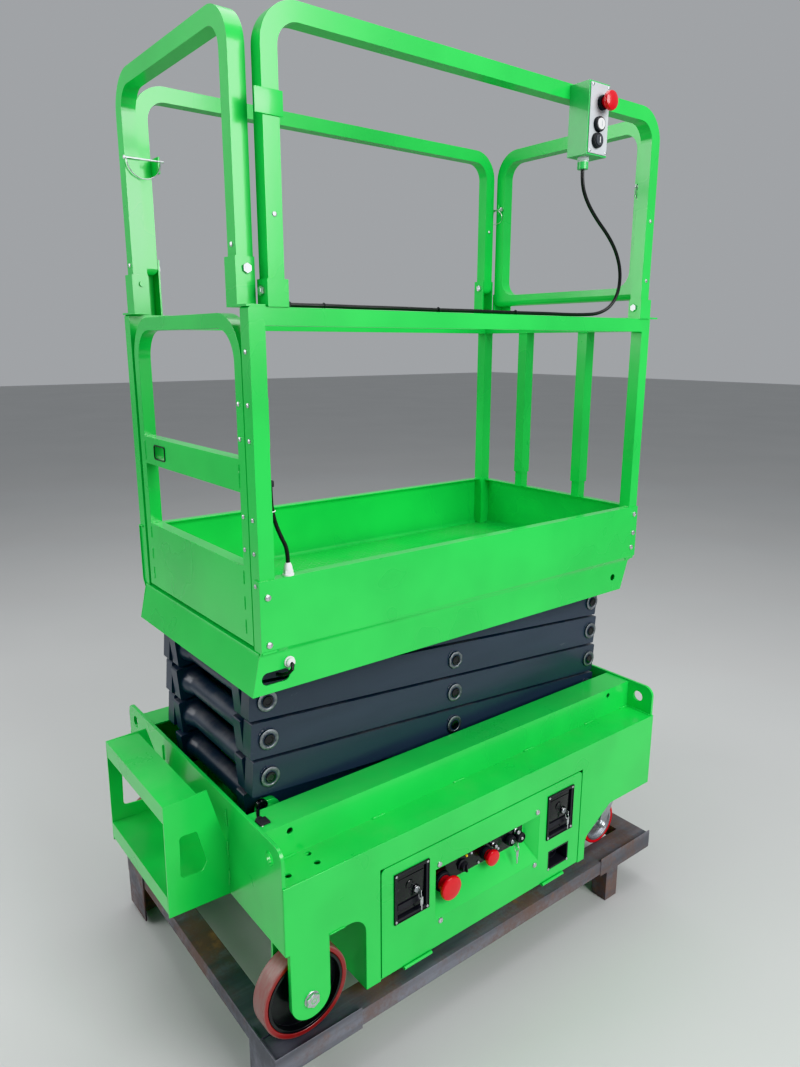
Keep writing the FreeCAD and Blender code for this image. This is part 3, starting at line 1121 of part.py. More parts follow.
def lift_cylinder():
    """Barrel and rod of the lift cylinder, built level from the lower eye and tilted into place."""
    centre = ("0", "0")
    end = "ram_reach - barrel_short"
    blank = fuse("barrel_blank", [
        rod("barrel_eye_ring", "y", centre, "barrel_eye", "-eye_half", "eye_half"),
        rod("barrel_neck_bar", "x", centre, "barrel_neck", "cylinder_pin + 3", "neck_length + 4"),
        rod("barrel_tube", "x", centre, "barrel_radius", "neck_length", end),
        rod("barrel_gland", "x", centre, "barrel_radius + gland_rim", f"{end} - gland_width", end),
        rod("barrel_port", "z", (f"{end} - 2 * gland_width", "0"), "port_radius", "0",
            "barrel_radius + port_reach"),
    ])
    barrel = cut("cylinder_barrel", blank, [
        rod("barrel_pin_bore", "y", centre, "cylinder_pin + running_gap", "-(eye_half + 1)", "eye_half + 1"),
        rod("barrel_bore", "x", centre, "rod_radius + running_gap", "neck_length + barrel_end", "ram_reach"),
    ])
    ram = fuse("cylinder_rod", [
        rod("rod_bar", "x", centre, "rod_radius", "neck_length + barrel_end + rod_clear",
            "ram_reach - rod_eye + 4"),
        rod("rod_eye_ring", "y", ("ram_reach", "0"), "rod_eye", "-(rod_eye - 2)", "rod_eye - 2"),
    ])
    tilt = FreeCAD.Rotation(FreeCAD.Vector(0, 1, 0), -math.degrees(math.atan2(RAM_RISE, RAM_RUN)))
    for piece in (barrel, ram):
        piece.Placement = FreeCAD.Placement(FreeCAD.Vector(), tilt)
        put(piece, "cylinder_x", "0", "cylinder_z")
    keep(barrel, "cylinder_barrel")
    keep(ram, "cylinder_rod")


def scissor():
    """Eight arm frames, what carries them on the chassis, and the lift cylinder."""
    for level in (1, 2, 3, 4):
        arm_frame("inner", level)
        arm_frame("outer", level)
    scissor_mounts()
    lift_cylinder()


def toe_boards():
    """Toe boards with their stepped skirt: two sides, the rear and the sill under the gate."""
    side = "deck_half"
    band = "deck_half - fold_in"
    board = [
        (f"-({band})", "skirt_low"), (f"-({band})", "fold_low"), (f"-{side}", "fold_high"),
        (f"-{side}", "rim_top"), (f"-({side} - rim_width)", "rim_top"),
        (f"-({side} - rim_width)", "rim_top - sheet"), (f"-({side} - sheet)", "rim_top - sheet"),
        (f"-({side} - sheet)", "fold_high"),
        (f"-({band} - sheet)", "fold_low"), (f"-({band} - sheet)", "skirt_low + sheet"),
        (f"-({band} - hem)", "skirt_low + sheet"), (f"-({band} - hem)", "skirt_low"),
    ]
    near = plate("toe_near_sheet", "YZ", "deck_front", "deck_rear", [board])
    nose_outline = [("deck_front", "fold_low"), ("deck_front - front_lean", "skirt_low"),
                    ("deck_front", "skirt_low")]
    nose = plate("toe_near_nose", "XZ", f"-({band})", f"-({band} - sheet)", [nose_outline])
    blank = fuse("toe_near_blank", [near, nose])

    low, high = f"-({side} + 1)", f"-({band} - sheet - 1)"
    slot_start, slot_low = "deck_front + slot_back", "skirt_low + slot_rise"
    slot = [(slot_start, slot_low), (f"{slot_start} + slot_length", slot_low),
            (f"{slot_start} + slot_length", f"{slot_low} + slot_height"),
            (slot_start, f"{slot_low} + slot_height")]
    tail = [("deck_rear - fold_in", "fold_low"), ("deck_rear - fold_in - rear_lean", "skirt_low"),
            ("deck_rear - fold_in - rear_lean", "skirt_low - 1"), ("deck_rear + 1", "skirt_low - 1"),
            ("deck_rear + 1", "fold_low")]
    corner = [("deck_rear - mitre_reach", f"-({side} - mitre_reach)"),
              ("deck_rear + 1", f"-({side} - mitre_reach)"), ("deck_rear + 1", f"-({side} + 1)")]
    post_low, post_high = f"-({side} - sheet)", f"-({side} - sheet - tube)"
    tools = [
        plate("cable_slot", "XZ", low, high, [slot], (), [("slot_height/2 - seat_gap", slot)]),
        rod("skirt_hole", "y", ("deck_rear - skirt_hole_front", "skirt_low + skirt_hole_rise"),
            "skirt_hole", low, high),
        plate("skirt_tail", "XZ", low, f"-({band} - hem - 1)", [tail]),
        plate("mitre_rear", "XY", "skirt_low - 5", "rim_top + 5", [corner]),
        box("notch_front", ("deck_front + sheet", post_low, "deck_floor"),
            ("deck_front + sheet + tube", post_high, "rim_top + 5")),
        box("notch_rear", ("deck_rear - sheet - tube", post_low, "deck_floor"),
            ("deck_rear - sheet", post_high, "rim_top + 5")),
    ]
    toe_near = cut("toe_board_near", blank, tools)

    rear = [
        ("deck_rear - fold_in - rear_lean", "skirt_low"), ("deck_rear - fold_in", "fold_low"),
        ("deck_rear", "fold_high"), ("deck_rear", "rim_top"), ("deck_rear - rim_width", "rim_top"),
        ("deck_rear - rim_width", "rim_top - sheet"), ("deck_rear - sheet", "rim_top - sheet"),
        ("deck_rear - sheet", "fold_high"), ("deck_rear - fold_in - sheet", "fold_low"),
        ("deck_rear - fold_in - rear_lean - sheet", "skirt_low"),
    ]
    rear_sheet = plate("toe_rear_sheet", "XZ", f"-{side}", side, [rear])
    cuts = []
    for name, sign in SIDES:
        triangle = [("deck_rear - mitre_reach", f"{sign}({side} - mitre_reach)"),
                    ("deck_rear + 1", f"{sign}({side} + 1)"),
                    ("deck_rear - mitre_reach", f"{sign}({side} + 1)")]
        cuts.append(plate(f"mitre_{name}", "XY", "fold_low", "rim_top + 5", [triangle]))
        low, high = ordered(sign, f"{side} + 1", f"{band} - sheet")
        cuts.append(box(f"band_end_{name}", ("deck_rear - band_cut", low, "skirt_low - 1"),
                        ("deck_rear + 1", high, "fold_low")))
        low, high = ordered(sign, f"{side} - sheet", f"{side} - sheet - tube")
        cuts.append(box(f"notch_{name}", ("deck_rear - sheet - tube", low, "deck_floor"),
                        ("deck_rear - sheet", high, "rim_top + 5")))
    toe_rear = cut("toe_board_rear", rear_sheet, cuts)

    top = "deck_front + sill_back"
    sill = [
        ("deck_front - front_lean", "skirt_low"), (top, "fold_low"), (top, "deck_floor"),
        ("deck_front + tube + sheet", "deck_floor"), ("deck_front + tube + sheet", "deck_floor - sheet"),
        (f"{top} + sheet", "deck_floor - sheet"), (f"{top} + sheet", "fold_low"),
        ("deck_front - front_lean + sheet", "skirt_low"),
    ]
    inner = f"{band} - sheet"
    sill_front = plate("sill_front", "XZ", f"-({inner})", inner, [sill])
    keep(fuse("toe_boards", [both_sides("toe_boards_side", toe_near), toe_rear, sill_front]), "toe_boards")


def platform_tray():
    """Toe boards, floor with its cross beams, and what the scissor carries it by."""
    toe_boards()
    floor_half = "deck_half - fold_in - 2 * sheet"
    floor = box("floor_sheet", ("deck_front + tube + sheet", f"-({floor_half})", "deck_floor - sheet"),
                ("deck_rear - fold_in - 2 * sheet", floor_half, "deck_floor"))
    beams = []
    beam_half = "outer_arm_y - 2*arm_width - arm_gap - pin_stub"
    for name, along in (("front", "deck_front + beam_front"), ("middle", "pivot_x + span/2 - beam_middle"),
                        ("rear", "deck_rear - beam_rear")):
        beams.append(box(f"beam_{name}", (along, f"-({beam_half})", "deck_floor - sheet - beam_height"),
                         (f"{along} + beam_width", beam_half, "deck_floor - sheet")))
    keep(fuse("platform_floor", [floor] + beams), "platform_floor")

    carriers = []
    level = "deck_pin_z"
    face = "outer_arm_y + arm_gap + roller_width + carrier_gap"
    start, stop = "track_front", "deck_rear - carrier_end"
    foot = f"{level} - roller_radius - carrier_sheet - track_clear"
    roof = f"{level} + roller_radius + seat_gap"
    for name, sign in SIDES:
        low, high = ordered(sign, face, f"{face} + carrier_sheet")
        carriers.append(box(f"web_{name}", (start, low, foot), (stop, high, "deck_floor - sheet")))
        low, high = ordered(sign, "outer_arm_y + arm_gap", f"{face} + carrier_sheet")
        for tag, height in (("top", roof), ("low", foot)):
            carriers.append(box(f"leg_{tag}_{name}", (start, low, height),
                                (stop, high, f"{height} + carrier_sheet")))
        low, high = ordered(sign, "outer_arm_y - arm_width - arm_gap",
                            "outer_arm_y - arm_width - arm_gap - fold_in")
        ear_half = "(pin_radius + ring_rim)"
        outline = [(f"pivot_x - {ear_half}", f"{level} - {ear_half}"),
                   (f"pivot_x + {ear_half}", f"{level} - {ear_half}"),
                   ("pivot_x + heel", "deck_floor - sheet"), ("pivot_x - tube_radius", "deck_floor - sheet")]
        rounds = [(f"{ear_half} - 2", outline[:2])]
        carriers.append(plate(f"platform_ear_{name}", "XZ", low, high, [outline],
                              [("pivot_x", level, "pin_radius + running_gap")], rounds))
    keep(fuse("platform_carriers", carriers), "platform_carriers")


def lower_rails():
    """Corner posts and middle rails that stand in the tray."""
    front, rear = "deck_front + sheet", "deck_rear - sheet"
    foot = "deck_floor + seat_gap"
    outline = [
        (front, foot), (front, "mid_top"), (rear, "mid_top"), (rear, foot), (f"{rear} - tube", foot),
        (f"{rear} - tube", "mid_top - tube"), (f"{front} + tube", "mid_top - tube"),
        (f"{front} + tube", foot),
    ]
    near = plate("rails_near", "XZ", "-(deck_half - sheet)", "-(deck_half - sheet - tube)", [outline], (),
                 [("rail_corner", [(front, "mid_top"), (rear, "mid_top")])])
    half = "deck_half - sheet - tube"
    pieces = [box("rail_rear", (f"{rear} - tube", f"-({half})", "mid_top - tube"), (rear, half, "mid_top"))]
    for name, sign in SIDES:
        low, high = ordered(sign, "upright_half", "upright_half + tube")
        joint = "rim_top + stub_height"
        pieces.append(box(f"upright_{name}", (f"{rear} - tube", low, joint), (rear, high, "mid_top - tube")))
        pieces.append(box(f"stub_{name}", (f"{rear} - tube + sheet", f"{low} + sheet", "rim_top"),
                          (f"{rear} - sheet", f"{high} - sheet", joint)))
    keep(fuse("lower_rails", [both_sides("side_rails", near)] + pieces), "lower_rails")


def hinge_bracket(name, turn, post_low, post_high, outer_face, inward, pivot, cheeks="ab"):
    """U-shaped bracket that holds a loop's post and its hinge bolt.

    turn is the axis of the bolt (x or y), post_low to post_high the post along it, outer_face the place
    of the web's inner face and inward the sign that points from the web to the post. cheeks names the
    sides that have a cheek: a is the low side of the post, b the high side.
    """
    back = "-" if inward == "+" else "+"
    web = sorted((outer_face, f"{outer_face} {back} cheek"), key=number)
    deep = sorted((f"{outer_face} {back} cheek", f"{outer_face} {inward} (tube + cheek_gap)"), key=number)
    top = f"{pivot} + tube/2 + bolt_reach"
    foot = "mid_top"
    spans = (
        ("a", f"{post_low} - cheek_gap - cheek", f"{post_low} - cheek_gap"),
        ("b", f"{post_high} + cheek_gap", f"{post_high} + cheek_gap + cheek"),
    )
    pieces = []
    for tag, low, high in [span for span in spans if span[0] in cheeks]:
        corners = ((low, deep[0], foot), (high, deep[1], top))
        if turn == "y":
            corners = ((deep[0], low, foot), (deep[1], high, top))
        pieces.append(box(f"{name}_{tag}", corners[0], corners[1]))
    wide = (f"{post_low} - cheek_gap - cheek", f"{post_high} + cheek_gap + cheek")
    corners = ((wide[0], web[0], foot), (wide[1], web[1], top))
    if turn == "y":
        corners = ((web[0], wide[0], foot), (web[1], wide[1], top))
    pieces.append(box(f"{name}_web", corners[0], corners[1]))
    centre = f"{outer_face} {inward} (tube/2 + cheek_gap)"
    reach = (f"{wide[0]} - bolt_reach" if "a" in cheeks else post_low,
             f"{wide[1]} + bolt_reach" if "b" in cheeks else post_high)
    pieces.append(rod(f"{name}_bolt", turn, (centre, pivot), "bolt_radius", reach[0], reach[1]))
    return pieces


def loop_bar(label, plane, start, stop, outlines, rounds, foot):
    """The bent tube of a loop, with the lower ends of its posts rounded about the hinge."""
    loop = plate(f"loop_{label}_bar", plane, start, stop, outlines, (), rounds)
    level = number(foot)
    return round_ends(loop, f"loop_{label}_ends", "tube/2 - running_gap",
                      lambda point: abs(point.z - level) < 1e-4)


def side_loops():
    """The near and far guardrail loops, which fold inwards about bolts along the machine."""
    side_face = "deck_half - sheet"
    side_out = f"({side_face} - cheek_gap)"
    front, rear = "side_loop_front", "side_loop_rear"
    brackets = []
    for label, sign, pivot in (("near", "-", "near_pivot"), ("far", "", "far_pivot")):
        low = f"{pivot} - tube/2"
        outline = [
            (front, low), (front, "loop_top"), (rear, "loop_top"), (rear, low), (f"{rear} - tube", low),
            (f"{rear} - tube", "loop_top - tube"), (f"{front} + tube", "loop_top - tube"),
            (f"{front} + tube", low),
        ]
        rounds = [("loop_bend", [outline[1], outline[2]]), ("loop_bend - tube", [outline[5], outline[6]])]
        start, stop = ordered(sign, side_out, f"{side_out} - tube")
        loop = loop_bar(label, "XZ", start, stop, [outline], rounds, low)
        bores = []
        inward = "+" if sign == "-" else "-"
        for end, along in (("front", front), ("rear", f"{rear} - tube")):
            centre = f"{sign}({side_out} - tube/2)"
            bores.append(rod(f"loop_{label}_bore_{end}", "x", (centre, pivot), "bolt_radius + running_gap",
                             f"{along} - cheek", f"{along} + tube + cheek"))
            brackets += hinge_bracket(f"bracket_{label}_{end}", "x", along, f"{along} + tube",
                                      f"{sign}({side_face})", inward, pivot)
        keep(cut(f"loop_{label}", loop, bores), f"loop_{label}")
    return brackets


def end_loop_outlines(low, closed):
    """Outlines of an end loop and its inner corners; a closed loop has a cross tube at its foot."""
    half, inner_half = "end_loop_half", "(end_loop_half - tube)"
    corners = [(f"-{half}", low), (f"-{half}", "loop_top"), (half, "loop_top"), (half, low)]
    inside = [(inner_half, "loop_top - tube"), (f"-{inner_half}", "loop_top - tube")]
    if not closed:
        return [corners + [(inner_half, low)] + inside + [(f"-{inner_half}", low)]], inside
    window = [(f"-{inner_half}", f"{low} + tube"), (inner_half, f"{low} + tube")] + inside
    return [corners, window], window


def end_loops():
    """The front and rear guardrail loops, which fold inwards about bolts across the machine."""
    half = "end_loop_half"
    pivot = "end_pivot"
    low = f"{pivot} - tube/2"
    brackets = []
    for label, face, sign, closed in (("front", "front_loop_x", "+", False),
                                      ("rear", "rear_loop_x", "-", True)):
        outlines, inner_corners = end_loop_outlines(low, closed)
        rounds = [("loop_bend", [(f"-{half}", "loop_top"), (half, "loop_top")]),
                  ("loop_bend - tube", inner_corners)]
        start, stop = sorted((face, f"{face} {sign} tube"), key=number)
        loop = loop_bar(label, "YZ", start, stop, outlines, rounds, low)
        bores = []
        back = "-" if sign == "+" else "+"
        web_face = f"{face} {back} cheek_gap"
        for side, flip in SIDES:
            post_low, post_high = ordered(flip, half, f"{half} - tube")
            bores.append(rod(f"loop_{label}_bore_{side}", "y", (f"{face} {sign} tube/2", pivot),
                             "bolt_radius + running_gap", f"{post_low} - cheek", f"{post_high} + cheek"))
            outside = "a" if flip else "b"
            brackets += hinge_bracket(f"bracket_{label}_{side}", "y", post_low, post_high, web_face, sign,
                                      pivot, outside if closed else "ab")
            foot_low, foot_high = ordered(flip, "deck_half - sheet", f"{half} - tube - cheek_gap - cheek")
            inner_end = f"{face} {sign} (tube + foot_reach)" if closed else f"{face} {sign} tube"
            reach_low, reach_high = sorted((f"{web_face} {back} cheek", inner_end), key=number)
            brackets.append(box(f"foot_{label}_{side}", (reach_low, foot_low, "mid_top"),
                                (reach_high, foot_high, "mid_top + cheek")))
        keep(cut(f"loop_{label}", loop, bores), f"loop_{label}")
    return brackets


def hinged_loops():
    """Four fold-down guardrail loops and the brackets that they turn in."""
    keep(fuse("loop_brackets", side_loops() + end_loops()), "loop_brackets")


def entry_gate():
    """Half-height gate of bent tube with a latch bar and a lower panel, hinged on the near front post."""
    post_face = "deck_front + sheet + tube"
    back = "deck_front + sheet + gate_gap"
    front = f"{back} + gate_tube"
    half = "end_loop_half"
    inside = f"({half} - gate_tube)"
    top, inner_top = "gate_top", "gate_top - gate_tube"
    bar_low, bar_high, sill_top = "gate_low + latch_low", "gate_low + latch_high", "gate_low + panel_top"
    outline = [(f"-{half}", "gate_low"), (f"-{half}", top), (half, top), (half, "gate_low")]
    window = [(f"-{inside}", bar_high), (f"-{inside}", inner_top), (inside, inner_top), (inside, bar_high)]
    lower = [(f"-{inside}", sill_top), (f"-{inside}", bar_low), (inside, bar_low), (inside, sill_top)]
    rounds = [("gate_bend", outline[1:3]), ("gate_bend - gate_tube", window[1:3])]
    frame = plate("gate_frame", "YZ", back, front, [outline, window, lower], (), rounds)
    slot = box("gate_slot", (f"{back} - 1", "slot_near", "gate_low + slot_low"),
               (f"{front} + 1", "slot_far", "gate_low + slot_high"))
    pan = box("gate_pan", (f"{back} + skin", f"-{inside}", "gate_low + pan_low"),
              (f"{front} + 1", inside, "gate_low + pan_top"))
    leaves = []
    knuckles = []
    for tag, height in (("high", "gate_low + leaf_high"), ("low", "gate_low + leaf_low")):
        leaf_top = f"{height} + gate_leaf"
        leaves.append(box(f"gate_leaf_{tag}", (front, f"-({half} + knuckle - leaf_sheet)", height),
                          (f"{front} + leaf_sheet", f"-({half} - latch_depth)", leaf_top)))
        knuckles.append(rod(f"knuckle_{tag}", "z", (f"{post_face} + knuckle", f"-({half} + knuckle)"),
                            "knuckle", height, leaf_top))
        knuckles.append(box(f"post_leaf_{tag}", (post_face, "-(deck_half - 2 * sheet)", height),
                            (f"{post_face} + leaf_sheet", f"-({half} + knuckle - 1)", leaf_top)))
    keep(fuse("gate", [cut("gate_plate", frame, [slot, pan])] + leaves), "gate")
    keep(fuse("gate_hinges", knuckles), "gate_hinges")


def control_box():
    """Upper control box on the near loop, with its face, buttons and gland."""
    back = "deck_half - sheet - cheek_gap"
    front = f"{back} + box_depth"
    housing = box("control_housing", ("box_left", f"-({front})", "box_low"),
                  ("box_right", f"-({back})", "box_high"))
    gland = rod("control_gland", "z", ("box_left + gland_inset", f"-({back} + box_depth/2)"),
                "gland_radius", "box_low - gland_reach", "box_low")
    keep(fuse("control_box", [housing, gland]), "control_box")
    keep(box("control_face", ("box_left + face_sheet", f"-({front} + face_sheet)", "box_low + face_sheet"),
             ("box_right - face_sheet", f"-({front})", "box_high - face_sheet")), "control_face")
    pieces = []
    for name, along, up, size in (
        ("stop", "box_left + box_stop_left", "box_low + box_stop_rise", "box_stop"),
        ("up", "box_left + up_left", "box_low + up_rise", "push"),
        ("down", "box_left + down_left", "box_low + down_rise", "push"),
    ):
        pieces.append(rod(f"box_{name}", "y", (along, up), f"{size}_radius",
                          f"-({front} + face_sheet + {size}_reach)", f"-({front} + face_sheet)"))
    keep(fuse("control_buttons", pieces), "control_buttons")


# Routes of the two free stretches of cable, and where each one leaves its gland or grommet.
CABLE_ROUTES = {
    "cable_upper": [
        (258, -330, 1920.7), (258, -330, 1893), (279, -329, 1857), (321, -327, 1822),
        (368, -325, 1792), (409, -321, 1757), (436, -316, 1714), (441, -310, 1668),
        (424, -302, 1633), (388, -294, 1616), (345, -288, 1613), (290, -285, 1612),
        (215, -288, 1612.5), (105, -284, 1612), (-10, -288, 1612.5), (-120, -285, 1612),
        (-235, -289, 1612.5), (-335, -286, 1612), (-400, -288, 1612.5), (-440, -286, 1612),
        (-474, -286, 1612),
    ],
    "cable_lower": [
        (-529.5, -290, 1286), (-529.5, -290, 1266), (-528, -290, 1243), (-522, -291, 1215),
        (-512, -293.5, 1188), (-501, -296, 1164), (-501, -296, 1138),
    ],
}


def cable(label):
    """A free stretch of cable: straight runs joined by tangent arcs as large as the runs allow."""
    route = [FreeCAD.Vector(*point) for point in CABLE_ROUTES[label]]
    edges = []
    start = route[0]
    radii = []
    for before, corner, after in zip(route, route[1:], route[2:]):
        back_way = (before - corner).normalize()
        on_way = (after - corner).normalize()
        shorter = min((before - corner).Length, (after - corner).Length)
        half_turn = (math.pi - back_way.getAngle(on_way)) / 2
        reach = 0.45 * shorter
        radii.append(reach / math.tan(half_turn))
        first = corner + back_way * reach
        last = corner + on_way * reach
        bisector = (back_way + on_way).normalize()
        depth = radii[-1] / math.cos(half_turn) - radii[-1]
        edges.append(Part.LineSegment(start, first).toShape())
        edges.append(Part.Arc(first, corner + bisector * depth, last).toShape())
        start = last
    edges.append(Part.LineSegment(start, route[-1]).toShape())
    path = Part.Wire(edges)
    section = Part.Wire([Part.Circle(route[0], route[1] - route[0], SIZES["cable_radius"]).toShape()])
    tube = doc.addObject("Part::Feature", label)
    tube.Shape = path.makePipeShell([section], True, True)
    area = math.pi * SIZES["cable_radius"] ** 2
    print(label, "length", round(path.Length), "mm, radii", [round(radius) for radius in radii],
          "volume over section times length", round(tube.Shape.Volume / (area * path.Length), 4))
    return keep(tube, label)


def glands():
    """Cable gland on the toe board, and grommets where the cable goes into the rail and out of the post."""
    post_face = "deck_front + sheet + tube"
    entry = "side_loop_front + entry_gap"
    entry_y, exit_y = "-(deck_half - entry_inset)", "-(deck_half - exit_inset)"
    rail_entry = box("rail_grommet", (f"{entry} - grommet", f"{entry_y} - grommet/2", "mid_top"),
                     (entry, f"{entry_y} + grommet/2", "mid_top + grommet_rise"))
    exit_low = "mid_top - exit_drop"
    post_exit = box("post_grommet", (post_face, f"{exit_y} - grommet/2", exit_low),
                    (f"{post_face} + grommet_rise", f"{exit_y} + grommet/2", f"{exit_low} + grommet"))
    centre = ("deck_front + gland_back", "-(deck_half - rim_width/2)")
    nut = rod("gland_nut", "z", centre, "gland_dome + 2", "rim_top", "rim_top + nut_height")
    dome = rod("gland_dome", "z", centre, "gland_dome", "rim_top + nut_height", "rim_top + gland_height")
    keep(fuse("cable_glands", [rail_entry, post_exit, nut, dome]), "cable_glands")


work_stand()
chassis()
front_forks()
wheels()
service_doors()
inner_masses()
entry_step()
scissor()
platform_tray()
lower_rails()
hinged_loops()
entry_gate()
control_box()
cable("cable_upper")
cable("cable_lower")
glands()
doc.recompute()

faults = []
for item in doc.Objects:
    if "Invalid" in item.State or "Error" in item.State:
        faults.append(f"{item.Label}: {item.State}")
for node in NODES:
    if node.Shape.isNull() or not node.Shape.isValid() or not node.Shape.Solids:
        faults.append(f"{node.Label}: no valid solid")
if faults:
    raise SystemExit("\n".join(faults))

os.makedirs("parts", exist_ok=True)
for node in NODES:
    node.Shape.exportStep(os.path.join("parts", node.Label + ".step"))
    print(node.Label, len(node.Shape.Solids), "solids", round(node.Shape.Volume / 1000), "cm3")
print(len(NODES), "sub-parts")
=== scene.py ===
"""Looks of a small four-level scissor lift on its work stand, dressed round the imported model."""

import logging
import math
import random
from dataclasses import dataclass, field
from enum import Enum

import bmesh
import bpy
from mathutils import Matrix, Vector


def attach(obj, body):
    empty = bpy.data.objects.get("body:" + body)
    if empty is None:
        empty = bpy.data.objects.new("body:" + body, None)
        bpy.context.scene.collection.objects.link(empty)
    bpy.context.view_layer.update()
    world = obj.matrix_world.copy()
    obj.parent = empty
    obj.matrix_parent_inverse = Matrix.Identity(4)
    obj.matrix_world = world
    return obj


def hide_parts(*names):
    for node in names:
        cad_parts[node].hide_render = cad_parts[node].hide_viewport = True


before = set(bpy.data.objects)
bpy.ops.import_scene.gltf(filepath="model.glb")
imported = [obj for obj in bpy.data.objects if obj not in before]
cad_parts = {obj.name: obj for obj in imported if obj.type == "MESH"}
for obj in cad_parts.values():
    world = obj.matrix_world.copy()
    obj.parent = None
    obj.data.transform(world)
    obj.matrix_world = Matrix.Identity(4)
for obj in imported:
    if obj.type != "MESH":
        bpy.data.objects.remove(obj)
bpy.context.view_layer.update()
LOG = logging.getLogger("lift")
MM = 0.001
MIDDLE = Vector((-59.5, -15.0, 0.0))

Colour = tuple[float, float, float, float]
Place = tuple[float, float, float]
Pairs = tuple[tuple[float, float], ...]


def spot(x: float, y: float, z: float) -> Vector:
    """Turn a place on the machine into the frame's metres.

    Args:
        x: Distance along the machine in millimetres, rising from the entry end to the caster end.
        y: Distance across it in millimetres, rising from the near side to the far side.
        z: Height above the floor in millimetres.

    Returns:
        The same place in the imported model's frame.
    """
    return (Vector((x, y, z)) - MIDDLE) * MM


def circle(count: int, first: float = 0.0, step: float = 0.0) -> list[tuple[float, float]]:
    """Spread angles evenly.

    Args:
        count: How many angles.
        first: The first one in degrees.
        step: Degrees from one to the next; 0 shares a whole turn out.

    Returns:
        The cosine and the sine of each.
    """
    angles = [math.radians(first + i * (step or 360 / count)) for i in range(count)]
    return [(math.cos(angle), math.sin(angle)) for angle in angles]


class Axis(Enum):
    """Directions that fasteners and turned parts point in."""

    FRONT = (-1, 0, 0)
    REAR = (1, 0, 0)
    NEAR = (0, -1, 0)
    FAR = (0, 1, 0)
    UP = (0, 0, 1)
    DOWN = (0, 0, -1)

    @property
    def way(self) -> Vector:
        """The direction as a vector."""
        return Vector(self.value)


class Side(Enum):
    """The two sides of the machine, as the sign of the distance across it."""

    NEAR = -1
    FAR = 1

    @property
    def label(self) -> str:
        """The word for this side in the names of pieces."""
        return self.name.lower()

    @property
    def way(self) -> Vector:
        """The direction out of this side."""
        return Vector((0, self.value, 0))

    def spot(self, x: float, y: float, z: float) -> Vector:
        """The place on this side that matches one given for the far side."""
        return spot(x, y * self.value, z)


class Signal:
    """A number, colour or vector inside a finish, which can be used in sums."""

    def __init__(self, graph: "Graph", socket: bpy.types.NodeSocket) -> None:
        """Keep the socket and the node tree that it belongs to."""
        self.graph = graph
        self.socket = socket

    def _math(self, operation: str, *values: "Signal | float") -> "Signal":
        """Add one Math node."""
        return self.graph.node("ShaderNodeMath", {"operation": operation}, dict(enumerate(values)))

    def __add__(self, other: "Signal | float") -> "Signal":
        """This plus other."""
        return self._math("ADD", self, other)

    def __radd__(self, other: float) -> "Signal":
        """Other plus this."""
        return self._math("ADD", other, self)

    def __sub__(self, other: "Signal | float") -> "Signal":
        """This less other."""
        return self._math("SUBTRACT", self, other)

    def __rsub__(self, other: float) -> "Signal":
        """Other less this."""
        return self._math("SUBTRACT", other, self)

    def __mul__(self, other: "Signal | float") -> "Signal":
        """This times other."""
        return self._math("MULTIPLY", self, other)

    def __rmul__(self, other: float) -> "Signal":
        """Other times this."""
        return self._math("MULTIPLY", other, self)

    def power(self, other: float) -> "Signal":
        """This to the power of other."""
        return self._math("POWER", self, other)

    def higher(self, other: "Signal | float") -> "Signal":
        """The larger of this and other."""
        return self._math("MAXIMUM", self, other)

    def zigzag(self) -> "Signal":
        """How far this is from the nearest whole number."""
        return self._math("PINGPONG", self, 0.5)

    def between(self, low: float, high: float) -> "Signal":
        """A smooth step from 0 at low to 1 at high.

        Args:
            low: The value at which the step begins.
            high: The value at which it is complete; lower than low for a falling step.

        Returns:
            A signal from 0 to 1.
        """
        if low > high:
            return 1 - self.between(high, low)
        return self.graph.node("ShaderNodeMapRange", {"interpolation_type": "SMOOTHSTEP"},
                               {"Value": self, "From Min": low, "From Max": high})


